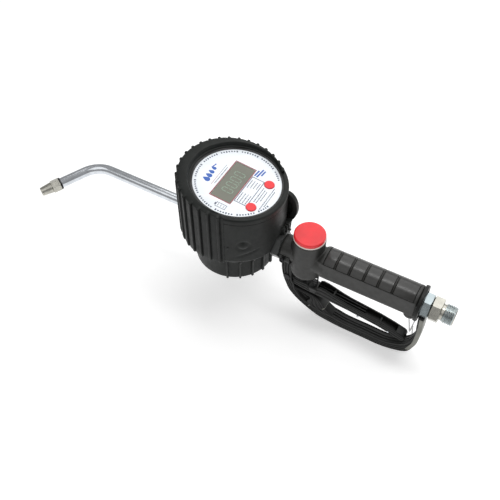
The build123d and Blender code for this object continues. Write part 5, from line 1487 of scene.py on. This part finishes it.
def tube_route(sizes):
    """Middle line of the tube, from the outlet boss to its end."""
    low, high = span("spout_tube")
    start = Vector((high.x, 0, 0))
    tip = span("nozzle_ring")
    end = (tip[0] + tip[1]) / 2 - SPOUT_DIRECTION * 0.9
    flat = -X_AXIS
    bend = flat.angle(SPOUT_DIRECTION)
    corner_x = end.x - SPOUT_DIRECTION.x / SPOUT_DIRECTION.z * end.z
    corner = Vector((corner_x, 0, 0))
    bend_r = sizes.bend_radius / MM
    reach = bend_r * math.tan(bend / 2)
    inward = (SPOUT_DIRECTION - flat * SPOUT_DIRECTION.dot(flat)).normalized()
    centre = corner - flat * reach + inward * bend_r
    path = [start, start + flat * 12.0, start + flat * 13.6, start + flat * 60.0]
    for step in range(sizes.bend_steps + 1):
        angle = bend * step / sizes.bend_steps
        path.append(centre - inward * bend_r * math.cos(angle) + flat * bend_r * math.sin(angle))
    path += [end.lerp(path[-1], 0.5), end]
    return path


def hollow_tube(path, outer_r, inner_r, count=72):
    """Tube with an open bore, swept along a route."""
    rows, inner_rows, side = [], [], None
    for index, point in enumerate(path):
        ahead = (path[min(index + 1, len(path) - 1)] - path[max(index - 1, 0)]).normalized()
        side = ahead.orthogonal().normalized() if side is None else side
        side = (side - ahead * side.dot(ahead)).normalized()
        rows.append(ring(point, side, ahead.cross(side), outer_r, count))
        inner_rows.append(ring(point, side, ahead.cross(side), inner_r, count))
    return skinned(rows + inner_rows[::-1] + [rows[0]], capped=False)


class OILGUN_OT_spout(bpy.types.Operator):
    """Spout: outlet nut, bent tube, dark ring, nozzle hexagon and tip"""

    bl_idname = "oil_gun.spout"
    bl_label = "Spout and nozzle"
    bl_options = {"REGISTER", "UNDO"}

    def execute(self, context):
        sizes = context.scene.oil_gun_spout
        path = tube_route(sizes)
        end = path[-1]
        side = SPOUT_DIRECTION.cross(X_AXIS).normalized()
        finished(hollow_tube(path, 6.0, 4.5), "spout_tube_finished", ["spout_tube"], "bright_plate")
        low, high = span("outlet_nut")
        flats = high.z - low.z if abs((high.z - low.z) - 26.0) < 1 else min(high.z - low.z, high.y - low.y)
        profile = hex_ends(low.x, high.x, flats, 1.2, 0.92)
        profile += [(high.x, 12.2), (low.x + 7.0, 12.2), (low.x + 7.0, 6.3), (low.x, 6.3)]
        corners_at_y = high.y - low.y > high.z - low.z
        finished(machined(profile, Vector((0, 0, 0)), X_AXIS, Y_AXIS if corners_at_y else Z_AXIS, flats,
                          hollow=True), "outlet_nut_finished", ["outlet_nut"], "blue_zinc")
        groove = sizes.mark_depth / MM
        band = rounded([(0.0, 4.6), (0.0, 7.3 - groove), (1.8, 7.3, 0.3), (1.8, 4.6)], 0.2, 3, closed=True)
        finished(turned(band, end, SPOUT_DIRECTION, side, 64, closed=True), "nozzle_ring_finished",
                 ["nozzle_ring"], "black_oxide")
        flats = 13.0
        body = hex_ends(1.8, 11.8, flats, 0.6, 0.94)
        body += [(11.8, 4.1), (6.5, 4.1), (6.5, 2.7), (-6.0, 2.7), (-6.0, 4.4), (1.8, 4.4)]
        finished(machined(body, end, SPOUT_DIRECTION, side, flats, hollow=True), "nozzle_body_finished",
                 ["nozzle_body"], "nickel_plate")
        tip = rounded([(11.8, 4.0), (11.8, 5.9, 0.3), (12.4, 6.25, 0.2), (24.6, 4.95, 0.5), (25.0, 4.4, 0.2),
                       (25.0, 2.9, 0.3), (24.4, 2.7, 0.2), (18.5, 2.7), (18.5, 4.0)], 0.1, 3, closed=True)
        finished(turned(tip, end, SPOUT_DIRECTION, side, 72, closed=True), "nozzle_tip_finished",
                 ["nozzle_tip"], "nickel_plate")
        seat, stop = end + SPOUT_DIRECTION * 10.5, end + SPOUT_DIRECTION * 18.5
        piece = finished(helix(stop, seat, 3.1, 6, 0.3), "nozzle_spring_coil", ["nozzle_spring"],
                         "bright_steel")
        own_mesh(piece)
        return {"FINISHED"}


# ---- inner parts ---------------------------------------------------------------------------------
class OILGUN_OT_inner_parts(bpy.types.Operator):
    """Finishes on the CAD nodes that are carried over as they are, inside the gun and the meter"""

    bl_idname = "oil_gun.inner_parts"
    bl_label = "Inner parts"
    bl_options = {"REGISTER", "UNDO"}

    def execute(self, context):
        made = {}
        for node, slot in NODE_SLOTS.items():
            name = SLOT_FINISHES[slot]
            if name not in made:
                made[name] = finish(name)
            mesh = frame["nodes"][node].data
            if not mesh.materials:
                mesh.materials.append(made[name])
            for index in range(len(mesh.materials)):
                mesh.materials[index] = made[name]
        return {"FINISHED"}


# ---- studio --------------------------------------------------------------------------------------
class StudioSettings(bpy.types.PropertyGroup):
    """Camera, lights and floor."""

    camera_place: FloatVectorProperty(
        name="Camera place", description="Where the camera stands", subtype="XYZ", size=3, unit="LENGTH",
        default=(0.0133, -0.4384, 0.5817))
    camera_turn: FloatVectorProperty(
        name="Camera turn", description="How the camera is turned", subtype="EULER", size=3,
        default=(math.radians(39.22), 0.0, math.radians(29.30)))
    lens: FloatProperty(
        name="Lens", description="Focal length in millimetres", default=50.73, min=10, max=200)
    key_power: FloatProperty(
        name="Key light", description="Power of the large soft light", default=9.5, min=0, max=200)
    strip_power: FloatProperty(
        name="Strip light", description="Power of the narrow light overhead", default=1.3, min=0, max=200)
    fill_power: FloatProperty(
        name="Fill light", description="Power of the wide light in front", default=1.8, min=0,
        max=200)
    floor_glow: FloatProperty(
        name="Floor glow", description="Light the pale floor gives off itself", default=0.42, min=0, max=2)
    world_strength: FloatProperty(
        name="Surroundings", description="Brightness of the surroundings", default=0.36, min=0, max=10)


def add_light(name, place, target, size, power):
    """Large square area light that faces a target."""
    light = bpy.data.lights.new(name, "AREA")
    light.shape = "RECTANGLE"
    light.size, light.size_y = size
    light.energy = power
    lamp = bpy.data.objects.new(name, light)
    lamp.location = place
    lamp.rotation_euler = (Vector(target) - Vector(place)).to_track_quat("-Z", "Y").to_euler()
    bpy.context.scene.collection.objects.link(lamp)


class OILGUN_OT_studio(bpy.types.Operator):
    """Camera, soft lights, pale surroundings and a plain floor"""

    bl_idname = "oil_gun.studio"
    bl_label = "Studio"
    bl_options = {"REGISTER", "UNDO"}

    def execute(self, context):
        settings = context.scene.oil_gun_studio
        lens = bpy.data.cameras.new("camera")
        lens.lens = settings.lens
        lens.clip_start = 0.01
        camera = bpy.data.objects.new("camera", lens)
        camera.location = settings.camera_place
        camera.rotation_euler = settings.camera_turn
        context.scene.collection.objects.link(camera)
        context.scene.camera = camera
        middle = ((cad_low + cad_high) / 2)[:]
        add_light("key", (-0.10, 0.65, 0.85), middle, (1.6, 1.4), settings.key_power)
        add_light("strip", (-0.12, 0.06, 0.70), (-0.12, 0, 0), (0.55, 0.10), settings.strip_power)
        add_light("fill", (-0.45, -0.60, 0.90), middle, (1.0, 0.7), settings.fill_power)
        floor_mesh = bpy.data.meshes.new("floor")
        shape = bmesh.new()
        bmesh.ops.create_grid(shape, x_segments=1, y_segments=1, size=6.0)
        bmesh.ops.translate(shape, vec=(middle[0], 0, cad_low.z - 0.0005), verts=shape.verts)
        shape.to_mesh(floor_mesh)
        shape.free()
        floor = bpy.data.objects.new("floor", floor_mesh)
        context.scene.collection.objects.link(floor)
        white, shader, place = new_material("floor_white")
        shader.inputs["Base Color"].default_value = (0.8, 0.8, 0.8, 1)
        shader.inputs["Roughness"].default_value = 0.9
        shader.inputs["Specular IOR Level"].default_value = 0.0
        shader.inputs["Emission Color"].default_value = (1, 1, 1, 1)
        shader.inputs["Emission Strength"].default_value = settings.floor_glow
        floor_mesh.materials.append(white)
        world = bpy.data.worlds.new("surroundings")
        world.use_nodes = True
        background = world.node_tree.nodes["Background"]
        background.inputs["Color"].default_value = (1, 1, 1, 1)
        background.inputs["Strength"].default_value = settings.world_strength
        context.scene.world = world
        context.scene.view_settings.view_transform = "Standard"
        return {"FINISHED"}


# ---- panel and registration ----------------------------------------------------------------------
OPERATORS = (OILGUN_OT_studio, OILGUN_OT_inner_parts, OILGUN_OT_boot, OILGUN_OT_dial, OILGUN_OT_handle,
             OILGUN_OT_trigger, OILGUN_OT_fittings, OILGUN_OT_spout)
SETTINGS = {
    "oil_gun_finishes": FinishColours,
    "oil_gun_boot": BootSizes,
    "oil_gun_dial": DialSizes,
    "oil_gun_handle": HandleSizes,
    "oil_gun_trigger": TriggerSizes,
    "oil_gun_fittings": FittingSizes,
    "oil_gun_spout": SpoutSizes,
    "oil_gun_studio": StudioSettings,
}


class OILGUN_PT_panel(bpy.types.Panel):
    """Sidebar panel with a button for each group of pieces"""

    bl_idname = "OILGUN_PT_panel"
    bl_label = "Oil control gun"
    bl_space_type = "VIEW_3D"
    bl_region_type = "UI"
    bl_category = "Oil gun"

    def draw(self, context):
        for operator in OPERATORS:
            self.layout.operator(operator.bl_idname)


def register():
    for group in SETTINGS.values():
        bpy.utils.register_class(group)
    for operator in (*OPERATORS, OILGUN_PT_panel):
        bpy.utils.register_class(operator)
    for name, group in SETTINGS.items():
        setattr(bpy.types.Scene, name, PointerProperty(type=group))


def unregister():
    for name in SETTINGS:
        delattr(bpy.types.Scene, name)
    for operator in reversed((*OPERATORS, OILGUN_PT_panel)):
        bpy.utils.unregister_class(operator)
    for group in reversed(SETTINGS.values()):
        bpy.utils.unregister_class(group)


def main():
    register()
    for operator in OPERATORS:
        area, action = operator.bl_idname.split(".")
        getattr(getattr(bpy.ops, area), action)()


if __name__ == "__main__":
    main()
